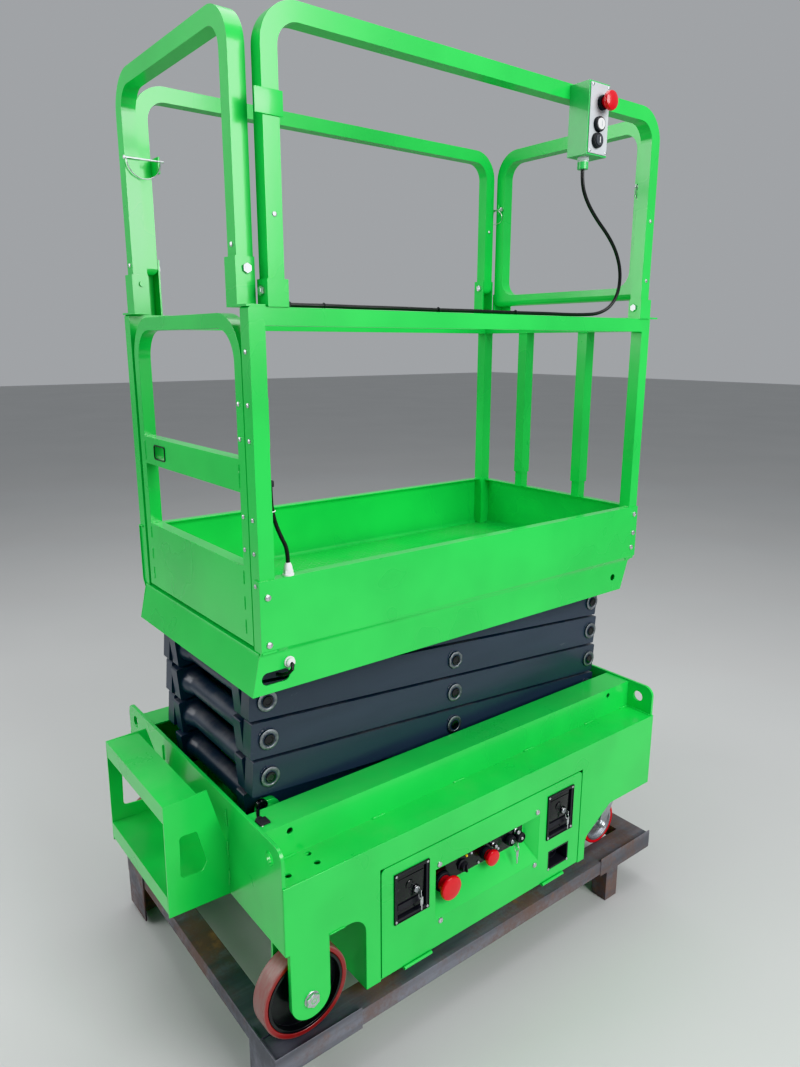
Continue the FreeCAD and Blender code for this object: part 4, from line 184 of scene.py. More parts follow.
class Graph:
    """The node tree of one finish."""

    def __init__(self, name: str) -> None:
        """Start an empty material with an output and its main shader.

        Args:
            name: The material's name.
        """
        self.material = bpy.data.materials.new(name)
        self.material.use_nodes = True
        self.tree = self.material.node_tree
        self.tree.nodes.clear()
        self.shader = self.tree.nodes.new("ShaderNodeBsdfPrincipled")
        output = self.tree.nodes.new("ShaderNodeOutputMaterial")
        self.tree.links.new(self.shader.outputs["BSDF"], output.inputs["Surface"])

    def feed(self, socket: bpy.types.NodeSocket, value: object) -> None:
        """Link a signal to a socket, or set a plain value on it.

        Args:
            socket: The input to fill.
            value: A signal, number or tuple.
        """
        if isinstance(value, Signal):
            self.tree.links.new(value.socket, socket)
        else:
            socket.default_value = value

    def node(self, kind: str, settings: dict | None = None, inputs: dict | None = None,
             output: int | str = 0) -> Signal:
        """Add any node.

        Args:
            kind: The node's type.
            settings: Its settings, such as a Math node's operation, which are set first.
            inputs: Values or signals for its sockets, by name or number.
            output: Which output to hand back.

        Returns:
            The chosen output.
        """
        made = self.tree.nodes.new(kind)
        for key, value in (settings or {}).items():
            setattr(made, key, value)
        for key, value in (inputs or {}).items():
            self.feed(made.inputs[key], value)
        return Signal(self, made.outputs[output])

    def place(self) -> Signal:
        """Where a point lies on the machine, in metres."""
        return self.node("ShaderNodeTexCoord", output="Object")

    def split(self, whole: Signal) -> list[Signal]:
        """The three parts of a place or a direction."""
        first = self.node("ShaderNodeSeparateXYZ", inputs={0: whole})
        return [Signal(self, socket) for socket in first.socket.node.outputs]

    def level(self, low: float, high: float) -> Signal:
        """A step from 0 on steep faces to 1 on those that look up."""
        return self.split(self.node("ShaderNodeTexCoord", output="Normal"))[2].between(low, high)

    def noise(self, scale: float, detail: float = 2.0, rough: float = 0.5,
              stretch: Place = (1, 1, 1)) -> Signal:
        """Cloudy noise.

        Args:
            scale: How many waves fit in a metre.
            detail: How many finer layers are added.
            rough: How strong the finer layers are.
            stretch: How much denser the noise is along each axis.

        Returns:
            The noise, about 0 to 1.
        """
        where = self.node("ShaderNodeMapping", {}, {"Vector": self.place(), "Scale": stretch})
        return self.node("ShaderNodeTexNoise", {}, {"Vector": where, "Scale": scale, "Detail": detail,
                                                    "Roughness": rough})

    def cells(self, scale: float) -> Signal:
        """Distance to the nearest of many scattered points, scale of them to a metre."""
        return self.node("ShaderNodeTexVoronoi", {}, {"Vector": self.place(), "Scale": scale}, "Distance")

    def blend(self, share: "Signal | float", low: object, high: object) -> Signal:
        """Mix two colours: share is 0 for low and 1 for high."""
        return self.node("ShaderNodeMix", {"data_type": "RGBA"}, {0: share, 6: low, 7: high}, 2)

    def relief(self, height: Signal, depth: float, strength: float) -> Signal:
        """Turn a height into a bumped surface direction.

        Args:
            height: 0 to 1.
            depth: How deep 1 is, in metres.
            strength: How much of it shows.

        Returns:
            The surface direction.
        """
        return self.node("ShaderNodeBump", {}, {"Height": height, "Distance": depth, "Strength": strength})

    def finish(self, **values: object) -> bpy.types.Material:
        """Fill the main shader's sockets.

        Args:
            values: Values or signals by socket name, with underscores for spaces.

        Returns:
            The finished material.
        """
        for key, value in values.items():
            self.feed(self.shader.inputs[key.replace("_", " ")], value)
        return self.material


def shade(colour: Colour, factor: float) -> Colour:
    """A colour made lighter or darker."""
    return tuple(min(1.0, part * factor) for part in colour[:3]) + (1.0,)


@dataclass(frozen=True)
class Enamel:
    """Glossy powder coat with orange peel, faint clouds, settled dust and a few fine scuffs."""

    name: str
    colour: Colour
    gloss: float = 0.24
    coat: float = 0.4
    dust: float = 0.08
    dust_colour: Colour = (0.42, 0.42, 0.36, 1.0)

    def make(self) -> bpy.types.Material:
        """Build the material."""
        graph = Graph(self.name)
        clouds = graph.noise(3.0, 3, 0.6)
        tone = graph.blend(clouds.between(0.3, 0.7), shade(self.colour, 0.9), shade(self.colour, 1.08))
        patchy = graph.noise(9.0, 6, 0.65).between(0.42, 0.75)
        grime = graph.level(0.6, 0.98) * patchy * self.dust
        scuffs = graph.noise(55.0, 4, 0.6, (1, 1, 0.16)).between(0.72, 0.8) * 0.5
        peel = graph.noise(420.0)
        return graph.finish(
            Base_Color=graph.blend(grime, tone, self.dust_colour),
            Roughness=self.gloss + clouds * 0.08 + grime * 0.4 + scuffs * 0.12,
            Coat_Weight=self.coat - grime * self.coat,
            Coat_Roughness=0.12,
            Normal=graph.relief(peel + scuffs * 0.3, 0.00012, 0.5),
        )


@dataclass(frozen=True)
class SatinArm:
    """Slate paint on welded tube: satin, slightly streaked, with rubbed patches and dust on top."""

    name: str
    colour: Colour
    rubbed_colour: Colour = (0.25, 0.27, 0.31, 1.0)
    dust_colour: Colour = (0.3, 0.29, 0.28, 1.0)

    def make(self) -> bpy.types.Material:
        """Build the material."""
        graph = Graph(self.name)
        streaks = graph.noise(6.0, 4, 0.6, (0.15, 1, 1)).between(0.3, 0.75)
        tone = graph.blend(streaks, shade(self.colour, 0.78), shade(self.colour, 1.15))
        rubbed = graph.noise(38.0, 5, 0.7, (0.3, 1, 1)).between(0.7, 0.78)
        dust = graph.level(0.5, 0.95) * graph.noise(14.0, 5, 0.6).between(0.3, 0.7) * 0.35
        worn = graph.blend(rubbed * 0.35, tone, self.rubbed_colour)
        return graph.finish(
            Base_Color=graph.blend(dust, worn, self.dust_colour),
            Roughness=0.36 + streaks * 0.1 + rubbed * 0.12 + dust * 0.3,
            Coat_Weight=0.2,
            Coat_Roughness=0.16,
            Normal=graph.relief(graph.noise(260.0, 3, 0.55), 0.00015, 0.6),
        )


@dataclass(frozen=True)
class RustedSteel:
    """Blue-grey mill scale that has rusted brown in clouds and drawn streaks, with paler bloom."""

    name: str
    scale_colour: Colour = (0.16, 0.165, 0.19, 1.0)
    rust_colour: Colour = (0.16, 0.105, 0.085, 1.0)
    bloom_colour: Colour = (0.26, 0.16, 0.11, 1.0)

    def make(self) -> bpy.types.Material:
        """Build the material."""
        graph = Graph(self.name)
        broad = graph.noise(5.0, 6, 0.62)
        fine = graph.noise(70.0, 6, 0.7)
        drawn = graph.noise(16.0, 4, 0.6, (0.08, 1, 1))
        rust = (broad + fine * 0.35 + drawn * 0.3).between(0.72, 1.0)
        bloom = (graph.noise(11.0, 5, 0.6) + fine * 0.3).between(0.74, 0.92) * rust
        dark, light = shade(self.scale_colour, 0.7), shade(self.scale_colour, 1.4)
        scale = graph.blend(drawn.between(0.35, 0.7), dark, light)
        body = graph.blend(rust * 0.85, scale, self.rust_colour)
        return graph.finish(
            Base_Color=graph.blend(bloom, body, self.bloom_colour),
            Metallic=0.25 - rust * 0.2,
            Roughness=0.5 + rust * 0.35 + fine * 0.08,
            Normal=graph.relief(fine * (0.3 + rust), 0.0006, 0.7),
        )


@dataclass(frozen=True)
class Plated:
    """Zinc or chrome: metal with a cloudy crystalline skin and a hint of dullness."""

    name: str
    colour: Colour = (0.7, 0.72, 0.74, 1.0)
    rough: float = 0.26
    mottle: float = 0.16

    def make(self) -> bpy.types.Material:
        """Build the material."""
        graph = Graph(self.name)
        crystals = graph.cells(140.0).between(0.2, 0.8)
        cloud = graph.noise(45.0, 4, 0.6)
        return graph.finish(
            Base_Color=graph.blend(crystals, shade(self.colour, 1 - self.mottle), self.colour),
            Metallic=1.0,
            Roughness=self.rough + cloud * 0.18,
            Normal=graph.relief(cloud, 0.0001, 0.4),
        )


@dataclass(frozen=True)
class Moulded:
    """Moulded plastic or rubber with a fine grain, slightly uneven gloss and pale handling marks."""

    name: str
    colour: Colour
    rough: float = 0.42
    grain: float = 900.0
    depth: float = 0.00008
    marks: float = 0.12
    coat: float = 0.0
    mark_colour: Colour = (0.45, 0.45, 0.44, 1.0)

    def make(self) -> bpy.types.Material:
        """Build the material."""
        graph = Graph(self.name)
        cloud = graph.noise(30.0, 4, 0.6)
        handled = graph.noise(85.0, 5, 0.7).between(0.62, 0.8) * self.marks
        tone = graph.blend(cloud, shade(self.colour, 0.85), shade(self.colour, 1.1))
        return graph.finish(
            Base_Color=graph.blend(handled, tone, self.mark_colour),
            Roughness=self.rough + cloud * 0.12 + handled,
            Coat_Weight=self.coat,
            Coat_Roughness=0.08,
            Normal=graph.relief(graph.noise(self.grain, 1), self.depth, 0.6),
        )


@dataclass(frozen=True)
class RolledTread:
    """Poured polyurethane: glossy on its flanks, scuffed grey where it rolls."""

    name: str
    colour: Colour
    worn_colour: Colour
    axle: tuple[float, float]
    radius: float
    wear: float

    def make(self) -> bpy.types.Material:
        """Build the material."""
        graph = Graph(self.name)
        along, _, up = graph.split(graph.place())
        ahead, above = along - self.axle[0], up - self.axle[1]
        away = (ahead * ahead + above * above).power(0.5)
        rolling = away.between(self.radius - 0.0045, self.radius - 0.0008)
        grit = graph.noise(60.0, 6, 0.7)
        scraped = graph.noise(30.0, 4, 0.6, (1, 4, 1)).between(0.3, 0.8)
        worn = (rolling * (0.45 + scraped * 0.55) + grit.between(0.55, 0.8) * 0.25) * self.wear
        return graph.finish(
            Base_Color=graph.blend(worn, self.colour, self.worn_colour),
            Roughness=0.3 + worn * 0.45,
            Coat_Weight=0.25,
            Coat_Roughness=0.2,
            Normal=graph.relief(grit, 0.0004, 0.3 + 0.3 * self.wear),
        )


@dataclass(frozen=True)
class TreadPlate:
    """Enamelled floor with small raised bars in two directions, rubbed where people stand."""

    name: str
    colour: Colour
    pitch: float = 0.03
    trodden_colour: Colour = (0.33, 0.36, 0.3, 1.0)
    rubbed_colour: Colour = (0.5, 0.52, 0.5, 1.0)

    def make(self) -> bpy.types.Material:
        """Build the material."""
        graph = Graph(self.name)
        along, across, _ = graph.split(graph.place())
        upward = graph.level(0.7, 0.95)
        bars = []
        for turn, half in ((1, 0.0), (-1, 0.5)):
            length = ((along + across * turn) * (1 / self.pitch) + half).zigzag()
            width = ((along - across * turn) * (1 / self.pitch) + half).zigzag()
            bars.append(length.between(0.42, 0.16) * width.between(0.13, 0.06))
        raised = bars[0].higher(bars[1]) * upward
        tread = graph.noise(4.0, 5, 0.6).between(0.4, 0.7) * upward
        tone = graph.blend(tread * 0.12, self.colour, self.trodden_colour)
        return graph.finish(
            Base_Color=graph.blend(raised * tread * 0.25, tone, self.rubbed_colour),
            Roughness=0.3 + tread * 0.15,
            Coat_Weight=0.3,
            Coat_Roughness=0.15,
            Normal=graph.relief(raised, 0.0009, 0.7),
        )


@dataclass(frozen=True)
class StudioFloor:
    """Pale matt floor with the faintest unevenness."""

    name: str = "studio_floor"
    low: Colour = (0.5, 0.505, 0.5, 1.0)
    high: Colour = (0.55, 0.555, 0.55, 1.0)

    def make(self) -> bpy.types.Material:
        """Build the material."""
        graph = Graph(self.name)
        return graph.finish(Base_Color=graph.blend(graph.noise(0.8, 3), self.low, self.high), Roughness=0.75)


PAINT_GREEN: Colour = (0.034, 0.57, 0.09, 1.0)
BUTTON_RED: Colour = (0.62, 0.012, 0.02, 1.0)


class Finish(Enum):
    """The finishes that pieces choose from."""

    GREEN = Enamel("green_enamel", PAINT_GREEN)
    FLOOR_GREEN = TreadPlate("floor_tread_plate", PAINT_GREEN)
    BOX_GREEN = Moulded("green_housing", (0.055, 0.5, 0.12, 1.0), rough=0.3, grain=600.0, coat=0.3)
    ARM = SatinArm("slate_arm_paint", (0.04, 0.052, 0.075, 1.0))
    STAND = RustedSteel("stand_mill_scale")
    ZINC = Plated("bright_zinc")
    DULL_ZINC = Plated("dull_zinc", (0.55, 0.57, 0.6, 1.0), rough=0.38)
    WORN_ZINC = Plated("worn_zinc", (0.3, 0.32, 0.34, 1.0), rough=0.42, mottle=0.3)
    CHROME = Plated("hard_chrome", (0.84, 0.85, 0.86, 1.0), rough=0.07, mottle=0.03)
    BLACK = Moulded("black_plastic", (0.012, 0.012, 0.013, 1.0))
    BLACK_GLOSS = Moulded("black_gloss", (0.008, 0.008, 0.009, 1.0), rough=0.18, depth=0.00003, coat=0.4)
    BATTERY = Moulded("battery_case_plastic", (0.05, 0.05, 0.06, 1.0), rough=0.5, grain=500.0)
    PUMP = Moulded("pump_paint", (0.03, 0.03, 0.034, 1.0), rough=0.3, grain=300.0, coat=0.3)
    RED = Moulded("red_push_button", BUTTON_RED, rough=0.24, depth=0.00003, marks=0.05, coat=0.5)
    WHITE = Moulded("white_nylon", (0.8, 0.81, 0.82, 1.0), rough=0.38, marks=0.03)
    PALE_GREY = Moulded("pale_grey_face", (0.5, 0.53, 0.55, 1.0), rough=0.4, marks=0.05)
    DARK_GREY = Moulded("dark_grey_push_button", (0.06, 0.065, 0.075, 1.0), rough=0.3, marks=0.05, coat=0.3)
    LAMP = Moulded("yellow_lamp", (0.75, 0.55, 0.03, 1.0), rough=0.2, marks=0.02, coat=0.4)
    CABLE = Moulded("cable_sheath", (0.012, 0.012, 0.012, 1.0), rough=0.36, grain=700.0, marks=0.06)
    HUB = Moulded("hub_enamel", (0.014, 0.014, 0.015, 1.0), rough=0.3, grain=240.0, marks=0.16, coat=0.3)

    @property
    def material(self) -> bpy.types.Material:
        """The material, built the first time that it is asked for."""
        return bpy.data.materials.get(self.value.name) or self.value.make()


class Form:
    """A mesh that grows part by part, in the frame's metres."""

    SHARP = 32.0

    def __init__(self) -> None:
        """Start with nothing."""
        self.mesh = bmesh.new()
        self.finishes: list[Finish] = []
        self.current = 0

    def use(self, finish: Finish) -> "Form":
        """Give what is added next this finish.

        Args:
            finish: The finish.

        Returns:
            This form.
        """
        if finish not in self.finishes:
            self.finishes.append(finish)
        self.current = self.finishes.index(finish)
        return self

    def _face(self, corners: list[bmesh.types.BMVert]) -> bmesh.types.BMFace:
        """Add one face in the current finish.

        Args:
            corners: Its corners, in order.

        Returns:
            The face.
        """
        made = self.mesh.faces.new(corners)
        made.material_index = self.current
        return made

    def _skin(self, rings: list[list[bmesh.types.BMVert]], closed: bool = False) -> None:
        """Join rings of vertices with faces.

        Args:
            rings: The rings in order; a ring of one vertex is a point.
            closed: True where the last ring meets the first, so that no end needs a face.
        """
        for first, second in zip(rings, rings[1:] + rings[:1] if closed else rings[1:]):
            count = max(len(first), len(second))
            for i in range(count):
                j = (i + 1) % count
                if len(first) == 1:
                    self._face([first[0], second[j], second[i]])
                elif len(second) == 1:
                    self._face([first[i], first[j], second[0]])
                else:
                    self._face([first[i], first[j], second[j], second[i]])
        if not closed:
            for end in (rings[0][::-1], rings[-1]):
                if len(end) > 2:
                    self._face(end)

    def turned(self, foot: Vector, way: Axis | Side, outline: Pairs, sides: int) -> "Form":
        """Add a turned part.

        Args:
            foot: Where its axis starts.
            way: The direction of its axis.
            outline: Radius and height of its outline in millimetres, from one end to the other.
            sides: How many sides it has; 6 makes a nut.

        Returns:
            This form.
        """
        turn = way.way.to_track_quat("Z", "Y").to_matrix()
        rings = []
        for radius, height in outline:
            around = circle(sides, 180 / sides) if radius > 0 else [(0.0, 0.0)]
            places = [Vector((radius * x, radius * y, height)) * MM for x, y in around]
            rings.append([self.mesh.verts.new(foot + turn @ place) for place in places])
        self._skin(rings)
        return self

    def swept(self, points: list[Vector], radius: float, sides: int = 8, closed: bool = False,
              swell: float = 0.0) -> "Form":
        """Add a round wire along points.

        Args:
            points: The middle of the wire.
            radius: Its radius in millimetres.
            sides: How many sides its section has.
            closed: True for a ring.
            swell: How much it swells and thins by turns, as a share of its radius; its ends taper.

        Returns:
            This form.
        """
        count = len(points)
        side = None
        rings = []
        for i, point in enumerate(points):
            before = points[(i - 1) % count] if closed or i else point
            after = points[(i + 1) % count] if closed or i < count - 1 else point
            way = (after - before).normalized()
            if side is None:
                side = way.orthogonal().normalized()
            side = (side - way * side.dot(way)).normalized()
            other = way.cross(side)
            local = radius * (1 + swell * math.sin(i * 2.1))
            if swell and i in (0, count - 1):
                local *= 0.45
            rings.append([self.mesh.verts.new(point + (side * x + other * y) * local * MM)
                          for x, y in circle(sides)])
        self._skin(rings, closed)
        return self

    def slab(self, first: Vector, second: Vector, edge: float) -> "Form":
        """Add a block with rounded edges.

        Args:
            first: One of its corners.
            second: The opposite corner.
            edge: The size of the rounding in millimetres.

        Returns:
            This form.
        """
        low = Vector([min(pair) for pair in zip(first, second)])
        high = Vector([max(pair) for pair in zip(first, second)])
        outline = [(low.x, low.y), (high.x, low.y), (high.x, high.y), (low.x, high.y)]
        return self.prism([Vector((x, y, low.z)) for x, y in outline], Vector((0, 0, high.z - low.z)), edge)

    def prism(self, outline: list[Vector], way: Vector, edge: float) -> "Form":
        """Add a flat outline drawn out along a direction.

        Args:
            outline: Its corners, in order.
            way: How far and where it is drawn out.
            edge: The size of the rounding of its edges in millimetres.

        Returns:
            This form.
        """
        low = [self.mesh.verts.new(point) for point in outline]
        high = [self.mesh.verts.new(point + way) for point in outline]
        faces = [self._face(low[::-1]), self._face(high)]
        for i in range(len(outline)):
            j = (i + 1) % len(outline)
            faces.append(self._face([low[i], low[j], high[j], high[i]]))
        bmesh.ops.recalc_face_normals(self.mesh, faces=faces)
        edges = list({line for face in faces for line in face.edges})
        bmesh.ops.bevel(self.mesh, geom=edges, offset=edge * MM, segments=2, profile=0.6, affect="EDGES",
                        clamp_overlap=True, material=-1)
        return self

    def piece(self, name: str, body: str, slot: str) -> bpy.types.Object:
        """Turn the form into an object that rides on a body.

        Args:
            name: The object's name.
            body: The body that it moves with.
            slot: The name of the record's material slot for this piece; not used.

        Returns:
            The object.
        """
        bmesh.ops.recalc_face_normals(self.mesh, faces=self.mesh.faces)
        data = bpy.data.meshes.new(name)
        self.mesh.to_mesh(data)
        self.mesh.free()
        for finish in self.finishes:
            data.materials.append(finish.material)
        data.shade_smooth()
        data.set_sharp_from_angle(angle=math.radians(self.SHARP))
        made = bpy.data.objects.new(name, data)
        bpy.context.scene.collection.objects.link(made)
        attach(made, body)
        LOG.info("%s rides on %s with %d faces", name, body, len(data.polygons))
        return made


@dataclass(frozen=True)
class Turning:
    """A turned part: its finish, its outline in millimetres and how many sides it has."""

    finish: Finish
    outline: Pairs
    sides: int = 28

    def add(self, form: Form, foot: Vector, way: Axis | Side) -> None:
        """Add one to a form, standing on foot and pointing along way."""
        form.use(self.finish).turned(foot, way, self.outline, self.sides)

    def piece(self, name: str, body: str, places: tuple[Place, ...], way: Axis) -> None:
        """Make a zinc piece of several.

        Args:
            name: The piece's name.
            body: The body that it moves with.
            places: Where they stand, in millimetres.
            way: The direction that they point in.
        """
        form = Form()
        for place in places:
            self.add(form, spot(*place), way)
        form.piece(name, body, "zinc")


def screw(radius: float, height: float) -> Turning:
    """A round screw head with a driven recess."""
    return Turning(Finish.ZINC, ((radius, 0), (radius, height * 0.35), (radius * 0.85, height * 0.75),
                                 (radius * 0.5, height), (radius * 0.3, height),
                                 (radius * 0.26, height - 0.9), (0, height - 0.9)), 20)


def nut(height: float) -> Turning:
    """A hexagon nut with the end of its bolt."""
    return Turning(Finish.ZINC, ((9.2, 0), (9.2, height), (8.0, height + 0.8), (5.4, height + 0.8),
                                 (5.0, height + 1.8), (0, height + 1.8)), 6)


def collar(radius: float) -> Turning:
    """A ribbed black collar for a push button."""
    return Turning(Finish.BLACK, ((radius, 0), (radius, 6.5), (radius - 1.2, 8.4), (radius - 3.0, 8.8),
                                  (radius - 3.6, 7.0), (0, 7.0)), 40)


SCREW_M8 = screw(7.0, 4.2)
SCREW_M5 = screw(4.6, 2.6)
SCREW_M4 = screw(3.4, 2.0)
NUT = nut(3.6)
HIGH_NUT = nut(4.2)


@dataclass(frozen=True)
class Seam:
    """Equal rippled weld beads, given for the far side in millimetres."""

    starts: tuple[Place, ...]
    run: Place
    radius: float
    ripple: float = 2.2
    unrest: float = 0.3
    swell: float = 0.16

    def lay(self, form: Form, side: Side) -> None:
        """Add the beads to a form.

        Args:
            form: The form that they join.
            side: The side of the machine that they lie on.
        """
        for start in self.starts:
            first = side.spot(*start)
            last = side.spot(*(begin + length for begin, length in zip(start, self.run)))
            count = max(4, int((last - first).length / MM / self.ripple))
            points = []
            for i in range(count + 1):
                jitter = Vector([random.uniform(-self.unrest, self.unrest) for _ in range(3)]) * MM
                points.append(first.lerp(last, i / count) + jitter)
            form.swept(points, self.radius, swell=self.swell)


def lay_both(seams: tuple[Seam, ...], form: Form) -> None:
    """Lay seams on the near side and then on the far one.

    Args:
        seams: The seams, given for the far side.
        form: The form that they join.
    """
    for side in Side:
        for seam in seams:
            seam.lay(form, side)


def dress(node: str, material: bpy.types.Material, edge: float) -> None:
    """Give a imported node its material, and round its sharp edges a little.

    Args:
        node: The node's name.
        material: Its material.
        edge: The size of the rounding in millimetres.
    """
    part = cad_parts[node]
    part.data.materials.clear()
    part.data.materials.append(material)
    part.modifiers.new("weld", "WELD").merge_threshold = 0.00002
    flat = part.modifiers.new("flat_faces", "DECIMATE")
    flat.decimate_type = "DISSOLVE"
    flat.angle_limit = math.radians(0.5)
    rounding = part.modifiers.new("edges", "BEVEL")
    rounding.width = edge * MM
    rounding.segments = 2
    rounding.limit_method = "ANGLE"
    rounding.angle_limit = math.radians(40)
    part.modifiers.new("shading", "WEIGHTED_NORMAL").weight = 80
    LOG.info("%s is dressed in %s", node, material.name)


@dataclass
class Machine:
    """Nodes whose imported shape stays, with their finishes and how far their edges are rounded."""

    finishes: dict[Finish, list[str]] = field(default_factory=lambda: {
        Finish.GREEN: ["base_frame", "end_plates", "side_skins", "front_forks", "door_near", "door_far",
                       "entry_step", "scissor_mounts", "toe_boards", "platform_carriers", "lower_rails",
                       "loop_near", "loop_far", "loop_front", "loop_rear", "loop_brackets", "gate",
                       "gate_hinges", "door_hinges"],
        Finish.FLOOR_GREEN: ["platform_floor"],
        Finish.ARM: [f"{kind}_arms_{level}" for kind in ("inner", "outer") for level in (1, 2, 3, 4)],
        Finish.STAND: ["stand"],
        Finish.DULL_ZINC: ["hub_caster_near", "hub_caster_far", "caster_fork_near", "caster_fork_far",
                           "caster_plates"],
        Finish.BLACK: ["door_near_fittings", "door_far_fittings"],
        Finish.HUB: ["hub_front_near", "hub_front_far"],
        Finish.BATTERY: ["battery"],
        Finish.PUMP: ["pump_unit", "cylinder_barrel"],
        Finish.CHROME: ["cylinder_rod"],
        Finish.BOX_GREEN: ["control_box"],
        Finish.PALE_GREY: ["control_face"],
    })
    edges: dict[str, float] = field(default_factory=lambda: {
        "stand": 2.5, "control_box": 4.0, "control_face": 2.0, "loop_near": 3.0, "loop_far": 3.0,
        "loop_front": 3.0, "loop_rear": 3.0, "lower_rails": 3.0, "gate": 2.5, "battery": 4.0,
        "pump_unit": 3.0,
    })
    arm_edge: float = 2.6
    usual_edge: float = 1.2

    def build(self) -> None:
        """Dress every kept node."""
        for finish, nodes in self.finishes.items():
            usual = self.arm_edge if finish is Finish.ARM else self.usual_edge
            for node in nodes:
                dress(node, finish.material, self.edges.get(node, usual))


@dataclass
class Treads:
    """Treads of the wheels: for each kind its axle, radius, colour, worn colour and wear."""

    kinds: tuple[tuple[str, tuple[float, float], float, Colour, Colour, float], ...] = (
        ("front", (-544.0, 250.0), 100.0, (0.25, 0.03, 0.03, 1.0), (0.27, 0.2, 0.18, 1.0), 0.9),
        ("caster", (455.0, 212.5), 62.5, BUTTON_RED, (0.3, 0.12, 0.1, 1.0), 0.35),
    )
    edge: float = 3.0

    def build(self) -> None:
        """Give the treads their colours and their rolling wear."""
        for side in Side:
            for kind, (along, height), radius, colour, worn, wear in self.kinds:
                node = f"tread_{kind}_{side.label}"
                axle = spot(along, 0, height)
                finish = RolledTread(f"{node}_urethane", colour, worn, (axle.x, axle.z), radius * MM, wear)
                dress(node, finish.make(), self.edge)


@dataclass
class Cables:
    """The two free stretches of control cable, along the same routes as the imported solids."""

    diameter: float = 0.008
    upper: tuple[Place, ...] = (
        (258, -330, 1920.7), (258, -330, 1893), (279, -329, 1857), (321, -327, 1822), (368, -325, 1792),
        (409, -321, 1757), (436, -316, 1714), (441, -310, 1668), (424, -302, 1633), (388, -294, 1616),
        (345, -288, 1613), (290, -285, 1612), (215, -288, 1612.5), (105, -284, 1612), (-10, -288, 1612.5),
        (-120, -285, 1612), (-235, -289, 1612.5), (-335, -286, 1612), (-400, -288, 1612.5),
        (-440, -286, 1612), (-474, -286, 1612),
    )
    lower: tuple[Place, ...] = (
        (-529.5, -290, 1286), (-529.5, -290, 1266), (-528, -290, 1243), (-522, -291, 1215),
        (-512, -293.5, 1188), (-501, -296, 1164), (-501, -296, 1138),
    )

    def _curve(self, name: str, route: tuple[Place, ...]) -> None:
        """Lay one stretch of cable.

        Args:
            name: The piece's name, which is also that of the node that it stands for with _run added.
            route: Its control points in millimetres.
        """
        data = bpy.data.curves.new(name, "CURVE")
        data.dimensions = "3D"
        line = data.splines.new("NURBS")
        line.points.add(len(route) - 1)
        for point, place in zip(line.points, route):
            point.co = (*spot(*place), 1.0)
        line.order_u = 3
        line.use_endpoint_u = True
        line.resolution_u = 12
        data.bevel_depth = self.diameter / 2
        data.bevel_resolution = 5
        data.use_fill_caps = True
        data.materials.append(Finish.CABLE.material)
        made = bpy.data.objects.new(name, data)
        bpy.context.scene.collection.objects.link(made)
        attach(made, "platform")
        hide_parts(name.replace("_run", ""))
        tuple(spot(*route[0]))
        LOG.info("%s is laid", name)

    def build(self) -> None:
        """Lay both stretches."""
        self._curve("cable_upper_run", self.upper)
        self._curve("cable_lower_run", self.lower)


@dataclass
class PinCaps:
    """Retaining rings, glossy pin ends and weld spots on the outer arms."""

    front: float = -520.0
    rear: float = 521.0
    low: float = 570.0
    pitch: float = 86.5
    face: float = 223.0
    flat_level: int = 3
    ring: Pairs = ((16.6, 4.2), (16.6, 4.9), (17.4, 5.4), (20.8, 5.4), (22.4, 4.6), (22.6, 3.4), (22.6, 0))
    pin: Turning = Turning(Finish.BLACK_GLOSS, ((12.4, 4.0), (12.4, 6.0), (11.4, 7.2), (7.2, 7.6), (6.6, 6.8),
                                                (0, 6.8)), 36)
    weld_away: float = 25.5
    weld_radius: float = 2.2

    def _cap(self, form: Form, side: Side, place: tuple[float, float], sides: int) -> None:
        """Add one ring with its pin end and its weld spot.

        Args:
            form: The form that it joins.
            side: The side of the machine.
            place: How far along the machine and how high it is.
            sides: How many sides the ring has; 8 for one cut with flats.
        """
        foot = side.spot(place[0], self.face, place[1])
        Turning(Finish.WORN_ZINC, self.ring, sides).add(form, foot, side)
        self.pin.add(form, foot, side)
        weld = [foot + Vector((x, 0, z)) * self.weld_away * MM for x, z in circle(9, 104, 5.5)]
        form.use(Finish.ARM).swept(weld, self.weld_radius, swell=0.2)

    def build(self) -> None:
        """Make the caps of every pair of outer arms."""
        for level in (1, 2, 3, 4):
            form = Form()
            foot = self.low + self.pitch * (level - 1)
            top = foot + self.pitch
            middle = ((self.front + self.rear) / 2, (top + foot) / 2)
            for side in Side:
                for place in ((self.front, top), (self.rear, foot), middle):
                    flat = place == middle and level == self.flat_level
                    self._cap(form, side, place, 8 if flat else 40)
            form.piece(f"pin_caps_{level}", f"outer_{level}", "arm_paint")


